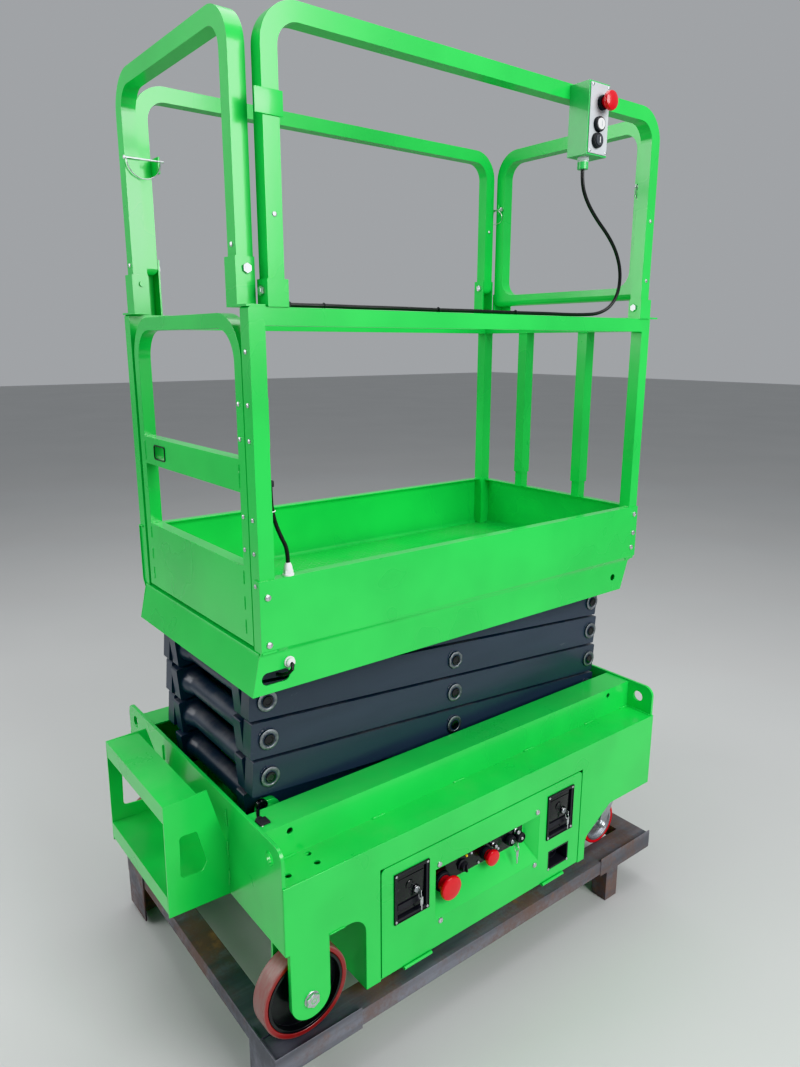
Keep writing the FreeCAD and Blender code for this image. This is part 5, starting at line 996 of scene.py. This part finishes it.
@dataclass
class PlatformHardware:
    """Zinc bolts of the toe boards and posts, hinge bolts of the loops and weld beads of the platform."""

    board_face: float = 307.0
    board_bolts: Pairs = ((-553, 1080), (-553, 985), (575, 1092), (575, 1040), (571, 1000))
    posts: tuple[float, float] = (-525.0, 543.0)
    post_width: float = 32.0
    bracket: float = 5.0
    hinge_across: float = 287.0
    near_hinge: float = 1634.0
    far_hinge: float = 1710.0
    end_hinges: tuple[Place, ...] = ((-549, 270, 1672), (598, 270, 1672))
    rear_face: float = 590.0
    rear_heights: tuple[float, ...] = (1010, 1075)
    rear_across: tuple[float, ...] = (-260, -130, 0, 130, 260)
    seams: tuple[Seam, ...] = (
        Seam(((-535, 285, 1113.6), (555, 285, 1113.6)), (0, 18, 0), 2.0),
        Seam(((-534.5, 274, 1575), (554.5, 274, 1575)), (0, 28, 0), 2.2),
        Seam(((555, 96, 1575),), (0, 32, 0), 2.2),
        Seam(((587, 272, 1575),), (-31, 0, 0), 2.0),
    )

    def build(self) -> None:
        """Make the bolts and the beads."""
        form = Form()
        for side in Side:
            for along, height in self.board_bolts:
                SCREW_M8.add(form, side.spot(along, self.board_face, height), side)
            height = self.near_hinge if side is Side.NEAR else self.far_hinge
            for post in self.posts:
                front, rear = post - self.bracket, post + self.post_width + self.bracket
                NUT.add(form, side.spot(front, self.hinge_across, height), Axis.FRONT)
                NUT.add(form, side.spot(rear, self.hinge_across, height), Axis.REAR)
            for place in self.end_hinges:
                HIGH_NUT.add(form, side.spot(*place), side)
        for height in self.rear_heights:
            for across in self.rear_across:
                SCREW_M5.add(form, spot(self.rear_face, across, height), Axis.REAR)
        form.piece("platform_bolts", "platform", "zinc")
        form = Form().use(Finish.GREEN)
        lay_both(self.seams, form)
        form.piece("platform_welds", "platform", "green_paint")


@dataclass
class GateHardware:
    """Hinge screws, seam beads and the lining of the hand slot of the entry gate."""

    face: float = -565.0
    across: float = -247.0
    heights: tuple[float, ...] = (1437, 1373, 1227, 1163)
    post_face: float = -567.0
    post_across: float = -288.0
    post_heights: tuple[float, ...] = (1530, 1100)
    slot: tuple[Place, ...] = ((176, 1314, 0), (126, 1314, 90), (126, 1293, 180), (176, 1293, 270))
    slot_corner: float = 5.0
    lining_proud: float = 0.8
    lining: float = 1.5
    seams: tuple[Seam, ...] = (
        Seam(((-565, 237, 990),), (0, 0, 30), 1.5),
        Seam(((-565, 237, 1040), (-565, 237, 1092)), (0, 0, 28), 1.5),
        Seam(((-565, 237, 1280),), (0, 0, 46), 1.5),
    )
    foot_seam: Seam = Seam(((-565, -220, 1128), (-565, -120, 1128), (-565, -20, 1128), (-565, 80, 1128),
                            (-565, 180, 1128)), (0, 40, 0), 1.4)

    def build(self) -> None:
        """Make the pieces on the gate and on its post."""
        hinge = tuple((self.face, self.across, height) for height in self.heights)
        SCREW_M5.piece("gate_screws", "gate_body", hinge, Axis.FRONT)
        heights = self.heights + self.post_heights
        post = tuple((self.post_face, self.post_across, height) for height in heights)
        SCREW_M5.piece("gate_post_screws", "platform", post, Axis.FRONT)

        form = Form().use(Finish.GREEN)
        lay_both(self.seams, form)
        self.foot_seam.lay(form, Side.FAR)
        form.piece("gate_welds", "gate_body", "green_paint")

        form = Form().use(Finish.BLACK)
        outer, bend = self.face - self.lining_proud, self.slot_corner
        edge = [spot(outer, across + bend * y, height + bend * z)
                for across, height, start in self.slot for y, z in circle(4, start, 30)]
        form.swept(edge, self.lining, closed=True)
        form.piece("gate_slot_edge", "gate_body", "black_plastic")


@dataclass
class LockPins:
    """Pins on wires that hold the guardrail loops up, with their tabs and straps, and the loops' screws."""

    gap: float = 578.5
    tab: Place = (3.2, 2.0, 15.0)
    end_tab: float = 252.0
    side_tab: float = 281.0
    pin_across: float = 244.0
    wire_across: float = 262.0
    wire_drop: float = 19.0
    wire_size: Place = (8.0, 23.0, 20.0)
    long_pin_head: Place = (-569.0, 230.3, 1931.0)
    handle_middle: Place = (-526.0, 226.5, 1929.0)
    handle_reach: float = 38.0
    corners: tuple[tuple[Side, float, str, Place, Place], ...] = (
        (Side.NEAR, 1934, "near_loop_tab", (-540, -306, 1914), (-487, -303, 1954)),
        (Side.FAR, 1937, "far_loop_tabs", (-493, 228.6, 1906), (-489, 290, 1941)),
    )
    pin: Turning = Turning(Finish.ZINC, ((0, -6), (5, -5.4), (6.4, -3.6), (6.4, -1), (4, 0), (2.7, 0.4),
                                         (2.7, 44), (1.8, 46), (0, 46.4)), 20)
    long_pin: Turning = Turning(Finish.ZINC, ((0, 0), (4.2, 0.6), (4.2, 3), (2.2, 3.6), (2.2, 88), (1.6, 90),
                                              (0, 90.4)), 20)
    screws: tuple[tuple[str, Axis, tuple[Place, ...]], ...] = (
        ("near_loop", Axis.NEAR, ((559, -303, 1842), (559, -303, 1700), (-509, -303, 1760))),
        ("near_loop_inner", Axis.FAR, ((559, -271, 1846),)),
        ("far_loop", Axis.FAR, ((559, 303, 1870), (-509, 303, 1790))),
        ("far_loop_inner", Axis.NEAR, ((559, 271, 1874),)),
        ("front_loop", Axis.FRONT, ((-565, -249, 1712), (-565, 249, 1712))),
        ("rear_loop", Axis.REAR, ((614, -249, 1712), (614, 249, 1712))),
    )

    def _tab(self, form: Form, side: Side, across: float, height: float) -> None:
        """Add one drilled tab in the gap between two posts.

        Args:
            form: The form that it joins.
            side: The side of the machine.
            across: The middle of the tab, given for the far side.
            height: The height of its hole.
        """
        thick, wide, tall = self.tab
        form.use(Finish.GREEN).slab(side.spot(self.gap - thick, across - wide, height - tall),
                                    side.spot(self.gap + thick, across + wide, height + tall), 0.8)

    def _rear_pin(self, side: Side, height: float) -> None:
        """Make one rear corner's pin with its tab and its wire, riding on the rear loop.

        Args:
            side: The side of the machine.
            height: The pin's height.
        """
        form = Form()
        self._tab(form, side, self.end_tab, height)
        self.pin.add(form, side.spot(self.gap, self.pin_across, height), side)
        bend, wide, tall = self.wire_size
        middle = height - self.wire_drop
        wire = [side.spot(self.gap + bend * x * y, self.wire_across + wide * y, middle + tall * x)
                for x, y in circle(30)]
        form.swept(wire, 1.1, closed=True)
        form.piece(f"lock_pin_{side.label}_rear", "rear_loop_body", "zinc")

    def _front_pin(self) -> None:
        """Make the long pin across the two posts of the far front corner, with its wire."""
        form = Form()
        self.long_pin.add(form, spot(*self.long_pin_head), Axis.REAR)
        along, across, height = self.handle_middle
        handle = [spot(along - self.handle_reach * x, across, height - self.handle_reach * z)
                  for x, z in circle(19, 0, 10)]
        form.swept(handle, 1.2)
        form.piece("lock_pin_far_front", "front_loop_body", "zinc")

    def build(self) -> None:
        """Make the pins at three corners, the tabs and straps, and the screws of the loops."""
        for side, height, *_ in self.corners:
            self._rear_pin(side, height)
        self._front_pin()
        for side, height, name, low, high in self.corners:
            form = Form()
            self._tab(form, side, self.side_tab, height)
            form.slab(spot(*low), spot(*high), 1.0)
            form.piece(name, f"{side.label}_loop_body", "green_paint")
        for name, way, places in self.screws:
            SCREW_M5.piece(f"{name}_screws", f"{name.split('_')[0]}_loop_body", places, way)


@dataclass
class UpperControls:
    """Push buttons, face screws and gland of the control box on the near loop."""

    face: float = -360.0
    body: str = "near_loop_body"
    buttons: tuple[tuple[float, float, Finish, Finish], ...] = (
        (266, 2008, Finish.WHITE, Finish.PALE_GREY), (262, 1975, Finish.DARK_GREY, Finish.WHITE))
    stop_place: tuple[float, float] = (275.0, 2052.0)
    screw_places: Pairs = ((243, 1954), (243, 2084), (295, 1954), (295, 2084))
    gland_place: tuple[float, float] = (258.0, -330.0)
    nut_top: float = 1946.0
    gland_top: float = 1938.4
    cap: Pairs = ((11.4, 7), (11.4, 9.6), (10.4, 10.6), (0, 11.0))
    stop: Turning = Turning(Finish.RED, ((10, 6), (10.5, 14), (13, 17.5), (19.2, 19.5), (20, 21.5),
                                         (20, 25.5), (18.6, 28.6), (13.5, 30.8), (7, 31.8), (0, 32)), 48)
    gland_nut: Turning = Turning(Finish.PALE_GREY, ((13.2, 0), (13.2, 7), (12.4, 8)), 8)
    gland: Turning = Turning(Finish.PALE_GREY, ((11.6, 0), (12.2, 1.0), (11.4, 11), (9.4, 15.6), (6.4, 17.4),
                                                (4.3, 17.6)), 24)

    def build(self) -> None:
        """Make the buttons, the screws and the gland."""
        form = Form()
        for along, height, finish, mark in self.buttons:
            foot = spot(along, self.face, height)
            collar(15.5).add(form, foot, Axis.NEAR)
            Turning(finish, self.cap, 36).add(form, foot, Axis.NEAR)
            form.use(mark).slab(spot(along - 1, self.face - 11.9, height - 6),
                                spot(along + 1, self.face - 10.8, height + 6), 0.3)
        along, height = self.stop_place
        foot = spot(along, self.face, height)
        collar(15.0).add(form, foot, Axis.NEAR)
        self.stop.add(form, foot, Axis.NEAR)
        made = form.piece("box_buttons", self.body, "red_plastic")
        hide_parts("control_buttons")

        places = tuple((along, self.face, height) for along, height in self.screw_places)
        SCREW_M4.piece("box_screws", self.body, places, Axis.NEAR)
        form = Form()
        self.gland_nut.add(form, spot(*self.gland_place, self.nut_top), Axis.DOWN)
        self.gland.add(form, spot(*self.gland_place, self.gland_top), Axis.DOWN)
        form.piece("box_gland", self.body, "white_plastic")


@dataclass
class LowerControls:
    """Folded green tray of the near door with its black strip, stop buttons, key switch and lamps."""

    start: float = -214.0
    end: float = 127.0
    skin: float = -410.0
    face: float = -384.0
    foot: float = 270.0
    top: float = 398.0
    crease: float = 325.0
    sheet: float = 3.0
    body: str = "door_near_body"
    selector: Turning = Turning(Finish.BLACK, ((15, 0), (15, 3), (12, 5), (11, 13), (10, 14.4), (0, 14.4)))
    socket: Turning = Turning(Finish.BLACK, ((13.5, 0), (13.5, 9), (12.4, 11), (10.6, 11.4), (10, 9),
                                             (0, 9)), 32)
    barrel: Turning = Turning(Finish.ZINC, ((6.2, 8), (6.2, 12), (5.2, 13.4), (0, 13.4)), 24)
    rivet: Turning = Turning(Finish.PALE_GREY, ((3.0, 0), (3.0, 2.4), (2.0, 3.6), (0, 4.0)), 16)
    lamp: Turning = Turning(Finish.LAMP, ((3.2, 0), (3.2, 3.0), (2.2, 4.4), (0, 5.0)), 16)
    screws: Pairs = ((118, 411), (115.5, 262), (-199, 260), (-204, 409))
    stems: tuple[Place, ...] = ((-12, 364, 5.0), (66, 370, 5.5), (80, 347, 4.0))
    switches: Pairs = ((46, 352), (80, 347))
    rivets: Pairs = ((-200, 372), (-60, 336), (6, 345), (-84, 372))
    stops: tuple[tuple[float, float, float, float], ...] = ((-174.8, 338, 29, 16), (-35.0, 350, 20, 8))
    keys: tuple[tuple[Place, Place, float], ...] = (
        ((44.9, -32, 345), (47.1, -13, 359), 0.5), ((42.5, -30.5, 318), (50.5, -28.8, 336), 0.5),
        ((44.5, -30.5, 300), (48.5, -28.8, 319), 0.4))

    def _tray(self, form: Form) -> None:
        """Add the folded tray with its slanted right end."""
        form.use(Finish.GREEN)
        inner = self.face + self.sheet
        fold = [(self.skin, self.foot), (self.face, self.crease), (self.face, self.top), (inner, self.top),
                (inner, self.crease - 2), (self.skin + self.sheet, self.foot)]
        form.prism([spot(self.start, y, z) for y, z in fold], Vector((self.end - self.start, 0, 0)) * MM, 0.6)
        near, far, back = self.skin + 1, self.face - 0.2, self.end - 30
        gusset = [(self.end, near, self.top), (self.end, near, self.foot + 2), (back, far, self.crease + 2),
                  (back, far, self.top)]
        form.prism([spot(*place) for place in gusset], Vector((1.5, 1.5, 0)) * MM, 0.4)

    def _strip(self, form: Form) -> None:
        """Add the black strip, its lamps, selector and key switch."""
        form.use(Finish.BLACK_GLOSS).slab(spot(self.start + 4, self.face - 2.6, self.top - 68),
                                          spot(self.end - 36, self.face, self.top - 2), 1.2)
        for turning, places in (
            (self.selector, ((-112, 352),)),
            (self.socket, self.switches),
            (self.barrel, self.switches[:1]),
            (self.rivet, self.rivets),
            (self.lamp, ((-100, 372),)),
        ):
            for along, height in places:
                turning.add(form, spot(along, self.face - 2, height), Axis.NEAR)
        for along, height, radius in self.stems:
            stem = ((radius + 1.6, 0), (radius + 1.6, 3), (radius, 5), (radius, 12), (radius - 1, 13.4),
                    (0, 13.4))
            Turning(Finish.ZINC, stem, 24).add(form, spot(along, self.face - 2, height), Axis.NEAR)
        form.use(Finish.BLACK).slab(spot(-114.5, self.face - 21, 342), spot(-109.5, self.face - 13, 362), 1.2)

    def _mushroom(self, form: Form, along: float, height: float, radius: float, reach: float) -> None:
        """Add a red mushroom button on its collar.

        Args:
            form: The form that it joins.
            along: Its place along the machine.
            height: Its height above the floor.
            radius: The cap's radius.
            reach: How far its top stands off the skin.
        """
        total = reach + 26
        ring = ((0.82, 0), (0.82, 6), (0.76, 8), (0.6, 8))
        cap = ((0.62, 8), (0.62, total - 21), (0.8, total - 16), (0.96, total - 13), (1, total - 10.5),
               (1, total - 6.5), (0.94, total - 3.6), (0.7, total - 1.4), (0.35, total - 0.3), (0, total))
        for finish, base, shares, sides in ((Finish.BLACK, 2, ring, 36), (Finish.RED, 0, cap, 56)):
            outline = tuple((radius * share, rise) for share, rise in shares)
            Turning(finish, outline, sides).add(form, spot(along, self.face - base, height), Axis.NEAR)

    def _keys(self, form: Form) -> None:
        """Add the key in its switch with a ring and a hanging second key."""
        form.use(Finish.ZINC)
        ring = [spot(46 + 1.5 * z, self.face - 28 + 7 * y, 341 + 9 * z) for y, z in circle(24)]
        form.swept(ring, 0.9, 6, closed=True)
        for (x0, y0, z0), (x1, y1, z1), edge in self.keys:
            form.slab(spot(x0, self.face + y0, z0), spot(x1, self.face + y1, z1), edge)

    def build(self) -> None:
        """Make the tray and what sits on it."""
        form = Form()
        self._tray(form)
        self._strip(form)
        for stop in self.stops:
            self._mushroom(form, *stop)
        self._keys(form)
        made = form.piece("lower_controls", self.body, "green_paint")
        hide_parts("control_panel")
        places = tuple((along, self.skin, height) for along, height in self.screws)
        SCREW_M8.piece("tray_screws", self.body, places, Axis.NEAR)


@dataclass
class Latches:
    """Screws, lids, paddles, locks and keys of the door latches, and the charger inlet."""

    skin: float = 412.0
    low: float = 315.0
    high: float = 439.0
    starts: tuple[float, float] = (-333.0, 155.0)
    width: float = 98.0
    rim: float = 2.4
    lid_face: float = 407.6
    paddle: Pairs = ((398, 329), (408.5, 333), (399, 356), (393, 356))
    dial: Turning = Turning(Finish.BLACK_GLOSS, ((11, 0), (11, 1.6), (9.8, 2.4), (7.8, 2.4), (7.0, 1.2),
                                                 (0, 1.2)))
    lock_rim: Turning = Turning(Finish.BLACK_GLOSS, ((10, 0), (10, 2.0), (8.8, 3.2), (7.4, 3.4)))
    lock: Turning = Turning(Finish.ZINC, ((7.4, 0), (7.4, 5), (6.6, 6.0), (3.0, 6.0), (2.6, 5.2), (0, 5.2)))
    inlet: Turning = Turning(Finish.BLACK, ((21, 0), (21, 14), (19.4, 16), (17, 16), (16.4, 5), (0, 5)), 36)
    inlet_pin: Turning = Turning(Finish.ZINC, ((1.9, 0), (1.9, 8), (1.2, 9), (0, 9)), 12)
    inlet_lip: Pairs = ((-404, 268), (-383, 271), (-383, 273), (-406, 270))
    keys: tuple[tuple[Place, Place, float], ...] = (
        ((-1, 412, 371), (1, 427, 383), 0.4), ((1, 421.4, 341), (9, 423, 361), 0.4),
        ((3.5, 421.4, 328), (6.5, 423, 342), 0.3))

    def _latch(self, start: float, side: Side, hardware: Form, plates: Form) -> None:
        """Add what one latch needs.

        Args:
            start: Its front edge.
            side: The side of the machine.
            hardware: The form for bright metal.
            plates: The form for black parts.
        """
        stop = start + self.width
        for along in (start + 5, stop - 5):
            for height in (self.low + 5, self.high - 5):
                SCREW_M4.add(hardware, side.spot(along, self.skin, height), side)
        plates.prism([side.spot(start + 12, y, z) for y, z in self.paddle],
                     Vector((self.width - 24, 0, 0)) * MM, 1.2)
        for x0, x1, z0, z1 in ((start, stop, self.high - self.rim, self.high),
                               (start, stop, self.low, self.low + self.rim),
                               (start, start + self.rim, self.low, self.high),
                               (stop - self.rim, stop, self.low, self.high)):
            plates.slab(side.spot(x0, self.skin, z0), side.spot(x1, self.skin + 1.4, z1), 0.5)
        crest = self.high - 22
        plates.slab(side.spot(start + 9, 403, 360), side.spot(stop - 9, 408, self.high - 9), 1.4)
        plates.slab(side.spot(start + 14, 408, crest), side.spot(stop - 14, 409.2, crest + 2), 0.5)
        self.dial.add(plates, side.spot(start + self.width * 0.46, self.lid_face, 396), side)
        middle = start + self.width * 0.64
        self.lock_rim.add(plates, side.spot(middle, self.lid_face, 377), side)
        self.lock.add(hardware, side.spot(middle, self.lid_face, 377), side)
        if side is Side.NEAR:
            self._keys(middle, side, hardware)

    def _keys(self, middle: float, side: Side, hardware: Form) -> None:
        """Add a key in its lock with a ring and a hanging second key.

        Args:
            middle: The middle of the lock along the machine.
            side: The side of the machine.
            hardware: The form that they join.
        """
        ring = [side.spot(middle, 423 + 5 * y, 367 + 9 * z) for y, z in circle(22)]
        hardware.swept(ring, 0.8, 6, closed=True)
        for (x0, y0, z0), (x1, y1, z1), edge in self.keys:
            hardware.slab(side.spot(middle + x0, y0, z0), side.spot(middle + x1, y1, z1), edge)

    def _inlet(self, hardware: Form, plates: Form) -> None:
        """Add the charger inlet with its pins, its lip and its screws.

        Args:
            hardware: The form for bright metal.
            plates: The form for black parts.
        """
        for along in (170.0, 241.6):
            SCREW_M4.add(hardware, spot(along, -410, 224), Axis.NEAR)
        self.inlet.add(plates, spot(206, -372, 249), Axis.NEAR)
        for x, z in circle(3, 90):
            self.inlet_pin.add(hardware, spot(206 + 8 * x, -377, 249 + 8 * z), Axis.NEAR)
        plates.prism([spot(170, y, z) for y, z in self.inlet_lip], Vector((72, 0, 0)) * MM, 0.5)

    def build(self) -> None:
        """Make the latches' parts on both doors and the inlet on the near one."""
        for side in Side:
            hardware = Form().use(Finish.ZINC)
            plates = Form().use(Finish.BLACK_GLOSS)
            for start in self.starts:
                self._latch(start, side, hardware, plates)
            if side is Side.NEAR:
                self._inlet(hardware, plates)
            hardware.piece(f"latch_hardware_{side.label}", f"door_{side.label}_body", "zinc")
            plates.piece(f"latch_plates_{side.label}", f"door_{side.label}_body", "black_plastic")


@dataclass
class ChassisHardware:
    """Axle bolts, caster plate bolts, limit switch and weld beads of the lower frame."""

    axle_nut: Turning = Turning(Finish.ZINC, ((16.6, 0), (16.6, 7.6), (14.8, 9.1), (7, 9.1), (6, 8.4),
                                              (5, 9.1), (0, 9.1)), 6)
    axle_washer: Turning = Turning(Finish.ZINC, ((17.6, 0.2), (17.6, 1.4), (16.8, 2.0), (14, 2.0)), 36)
    plate_bolt: Turning = Turning(Finish.ZINC, ((6.6, 0), (6.6, 5.0), (5.4, 5.8), (0, 5.8)), 6)
    step_bolt: Turning = Turning(Finish.ZINC, ((9, 0), (9, 5), (7.6, 6), (0, 6)), 6)
    switch_shaft: Turning = Turning(Finish.BLACK, ((10, 0), (10, 6), (8.6, 7.6), (0, 7.6)))
    switch_entry: Turning = Turning(Finish.BLACK, ((7.5, 0), (7.5, 11), (6.2, 12.6), (0, 12.6)), 20)
    switch_roller: Turning = Turning(Finish.BLACK_GLOSS, ((13, 0), (13, 8), (11.6, 10), (4, 10), (3.4, 8.6),
                                                          (0, 8.6)), 32)
    axle_end: Place = (-544.0, 410.0, 250.0)
    plate_places: tuple[Place, ...] = ((453, 301, 316), (453, 365, 316), (533, 301, 316), (533, 365, 316))
    step_place: tuple[float, float] = (-592.0, 150.0)
    step_heights: tuple[float, float] = (430.0, 560.0)
    lever: tuple[Place, ...] = ((-576, -276, 600), (-574, -268, 604), (-566, -252, 605), (-556, -238, 603),
                                (-548, -232, 601))
    seams: tuple[Seam, ...] = (
        Seam(tuple((along, 327.5, 531) for along in (-560, -330, -90, 150, 390, 545)), (36, 0, 0), 2.4),
        Seam(((-590.5, 330, 531), (578.5, 330, 531)), (0, 74, 0), 2.4),
        Seam(((-601, 173, 400), (-601, 173, 470), (-601, 173, 545)), (0, 0, 40), 2.4),
        Seam(((-500, 411, 379),), (40, 0, 0), 1.6),
        Seam(((-610, 169.5, 431.5), (-660, 169.5, 431.5), (-715, 169.5, 431.5)), (26, 0, 0), 1.8),
    )

    def _bolts(self) -> None:
        """Make the bright bolts."""
        form = Form()
        for side in Side:
            foot = side.spot(*self.axle_end)
            self.axle_nut.add(form, foot, side)
            self.axle_washer.add(form, foot, side)
            for place in self.plate_places:
                self.plate_bolt.add(form, side.spot(*place), Axis.DOWN)
            for height in self.step_heights:
                self.step_bolt.add(form, side.spot(*self.step_place, height), Axis.REAR)
        form.piece("frame_bolts", "base", "zinc")

    def _switch(self) -> None:
        """Make the roller switch that feels the lowered arms, near the entry end."""
        form = Form().use(Finish.BLACK)
        form.slab(spot(-588, -304, 572), spot(-564, -280, 610), 2.0)
        self.switch_shaft.add(form, spot(-576, -280, 600), Axis.FAR)
        self.switch_entry.add(form, spot(-564, -292, 582), Axis.REAR)
        self.switch_roller.add(form, spot(-545, -225, 601), Axis.NEAR)
        form.swept([spot(*place) for place in self.lever], 4.2, 12)
        for height in (578, 604):
            SCREW_M4.add(form, spot(-583, -304, height), Axis.NEAR)
        form.piece("lowered_switch", "base", "black_plastic")

    def build(self) -> None:
        """Make everything on the lower frame."""
        self._bolts()
        self._switch()
        form = Form().use(Finish.GREEN)
        lay_both(self.seams, form)
        form.piece("frame_welds", "base", "green_paint")


@dataclass
class CasterHardware:
    """Axle nuts and bearing shields of the two casters."""

    axle: Place = (455.0, 333.0, 212.5)
    nut_off: float = 25.0
    shield_off: float = 6.0
    nut: Turning = Turning(Finish.ZINC, ((12, 0.2), (12, 1.8), (9.6, 2), (9.6, 7.4), (8.2, 8.6), (6.2, 8.6),
                                         (6.2, 10.4), (5.2, 11.2), (0, 11.2)), 6)
    shield: Turning = Turning(Finish.ZINC, ((44, 0.3), (42, 1.6), (34, 3.4), (24, 4.2), (19, 8.6),
                                            (17.2, 9.6)), 48)

    def build(self) -> None:
        """Make the pieces of each caster."""
        for side in Side:
            for name, body, turning, off in (("nuts", "caster", self.nut, self.nut_off),
                                             ("shields", "caster_wheel", self.shield, self.shield_off)):
                form = Form()
                for face in Side:
                    turning.add(form, side.spot(*self.axle) + face.way * off * MM, face)
                form.piece(f"caster_{name}_{side.label}", f"{body}_{side.label}", "zinc")


@dataclass
class CableFittings:
    """White glands, rubber grommets and ties of the control cable."""

    flange: Turning = Turning(Finish.WHITE, ((11.2, 0), (11.2, 2.6), (10.0, 3.4), (10.0, 3.8)), 32)
    flange_nut: Turning = Turning(Finish.WHITE, ((9.9, 0), (9.9, 6.6), (9.0, 7.6)), 6)
    spout: Turning = Turning(Finish.WHITE, ((8.6, 0), (8.8, 1.2), (8.2, 7.6), (6.4, 12.8), (4.9, 15.4),
                                            (4.3, 16)))
    skirt_gland: Turning = Turning(Finish.WHITE, ((11.5, 0), (11.5, 2.6), (9.6, 3.0), (9.4, 8.4), (7.4, 10.6),
                                                  (4.2, 11.4)))
    stub: tuple[Place, ...] = ((-505, -302, 936), (-506, -311, 935), (-509, -314, 927), (-514, -308, 918),
                               (-521, -296, 912), (-527, -284, 911))

    def build(self) -> None:
        """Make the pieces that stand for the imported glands, and the ones on the skirt and the rail."""
        form = Form()
        for turning, height in ((self.flange, 1113), (self.flange_nut, 1116), (self.spout, 1122)):
            turning.add(form, spot(-501, -296, height), Axis.UP)
        form.use(Finish.BLACK)
        form.slab(spot(-487, -292.5, 1607), spot(-474, -279.5, 1618), 3.0)
        form.slab(spot(-535, -296.5, 1286), spot(-524, -283.5, 1299), 3.0)
        made = form.piece("cable_fittings", "platform", "white_plastic")
        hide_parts("cable_glands")

        form = Form()
        self.skirt_gland.add(form, spot(-505, -295.2, 936), Axis.NEAR)
        form.use(Finish.CABLE).swept([spot(*place) for place in self.stub], 3.6, 12)
        form.piece("skirt_gland", "platform", "white_plastic")

        form = Form().use(Finish.BLACK)
        for along in (-402, -122, 106):
            tie = [spot(along, -286.5 + 5.4 * y, 1612 + 5.2 * z) for y, z in circle(20)]
            form.swept(tie, 1.0, 6, closed=True)
        tie = [spot(-527 + 5.2 * x, -290 + 5.2 * y, 1240 + 0.8 * x) for x, y in circle(20)]
        form.use(Finish.WHITE).swept(tie, 1.2, 6, closed=True)
        form.piece("cable_ties", "platform", "black_plastic")


@dataclass
class StandWelds:
    """Bare weld beads of the work stand."""

    seams: tuple[Seam, ...] = (
        Seam(tuple((along, 408, 109.5) for along in (-632, -582, 430, 480)), (0, -50, 0), 2.8),
        Seam(((-600, 413.5, 150.5), (-520, 413.5, 150.5), (570, 413.5, 150.5)), (30, 0, 0), 2.2),
        Seam(((-632, 344.5, 150.2),), (44, 0, 0), 2.2),
    )

    def build(self) -> None:
        """Make the beads at the legs, corners and lips."""
        form = Form().use(Finish.STAND)
        lay_both(self.seams, form)
        form.piece("stand_welds", "base", "stand_steel")


@dataclass
class Studio:
    """Plain floor, soft lights and the camera at the photograph's angle."""

    camera_place: Place = (-1226.5, -1568.7, 1545.9)
    azimuth: float = 38.09
    pitch: float = 13.61
    roll: float = 0.1
    focal: float = 787.3
    picture_height: float = 1067.0
    sensor: float = 36.0
    air: Colour = (0.93, 0.96, 1.0, 1.0)
    air_strength: float = 0.42
    aim: Place = (0.0, 0.0, 1.0)
    lights: tuple[tuple[str, Place, float, float], ...] = (
        ("window_side", (0.4, -3.8, 2.8), 2.2, 150), ("roof", (0.4, 0.3, 5.2), 3.6, 120),
        ("far_side", (-3.4, 1.8, 2.6), 2.4, 80))

    def _light(self, name: str, place: Vector, size: float, power: float) -> None:
        """Hang one square soft light that points at the machine.

        Args:
            name: Its name.
            place: Where it hangs.
            size: The length of its sides in metres.
            power: Its power in watts.
        """
        data = bpy.data.lights.new(name, "AREA")
        data.size = size
        data.energy = power
        made = bpy.data.objects.new(name, data)
        made.location = place
        made.rotation_mode = "QUATERNION"
        made.rotation_quaternion = (Vector(self.aim) - place).to_track_quat("-Z", "Y")
        bpy.context.scene.collection.objects.link(made)

    def _floor(self) -> None:
        """Lay the floor."""
        ground = bmesh.new()
        bmesh.ops.create_grid(ground, x_segments=2, y_segments=2, size=30)
        data = bpy.data.meshes.new("studio_floor")
        ground.to_mesh(data)
        ground.free()
        data.materials.append(StudioFloor().make())
        floor = bpy.data.objects.new("studio_floor", data)
        bpy.context.scene.collection.objects.link(floor)

    def _camera(self) -> None:
        """Stand the camera where the photograph was taken."""
        data = bpy.data.cameras.new("photo_camera")
        data.sensor_width = self.sensor
        data.lens = self.sensor * self.focal / self.picture_height
        camera = bpy.data.objects.new("photo_camera", data)
        turn = (Matrix.Rotation(-math.radians(self.azimuth), 4, "Z")
                @ Matrix.Rotation(math.radians(90 - self.pitch), 4, "X")
                @ Matrix.Rotation(math.radians(self.roll), 4, "Z"))
        camera.matrix_world = Matrix.Translation(spot(*self.camera_place)) @ turn
        bpy.context.scene.collection.objects.link(camera)
        bpy.context.scene.camera = camera

    def build(self) -> None:
        """Set up the floor, the lights, the surroundings and the camera."""
        self._floor()
        world = bpy.data.worlds.new("studio_air")
        bpy.context.scene.world = world
        world.use_nodes = True
        sky = world.node_tree.nodes["Background"]
        sky.inputs["Color"].default_value = self.air
        sky.inputs["Strength"].default_value = self.air_strength
        bpy.context.scene.view_settings.view_transform = "Khronos PBR Neutral"
        for name, place, size, power in self.lights:
            self._light(name, Vector(place), size, power)
        self._camera()
        LOG.info("the studio is set up")


def main() -> None:
    """Build everything in order."""
    logging.basicConfig(level=logging.INFO, format="%(message)s")
    for group in (Studio, Machine, Treads, Cables):
        group().build()
    random.seed(7)
    for group in (PinCaps, PlatformHardware, GateHardware, LockPins, UpperControls, LowerControls, Latches,
                  ChassisHardware, CasterHardware, CableFittings, StandWelds):
        group().build()


if __name__ == "__main__":
    main()
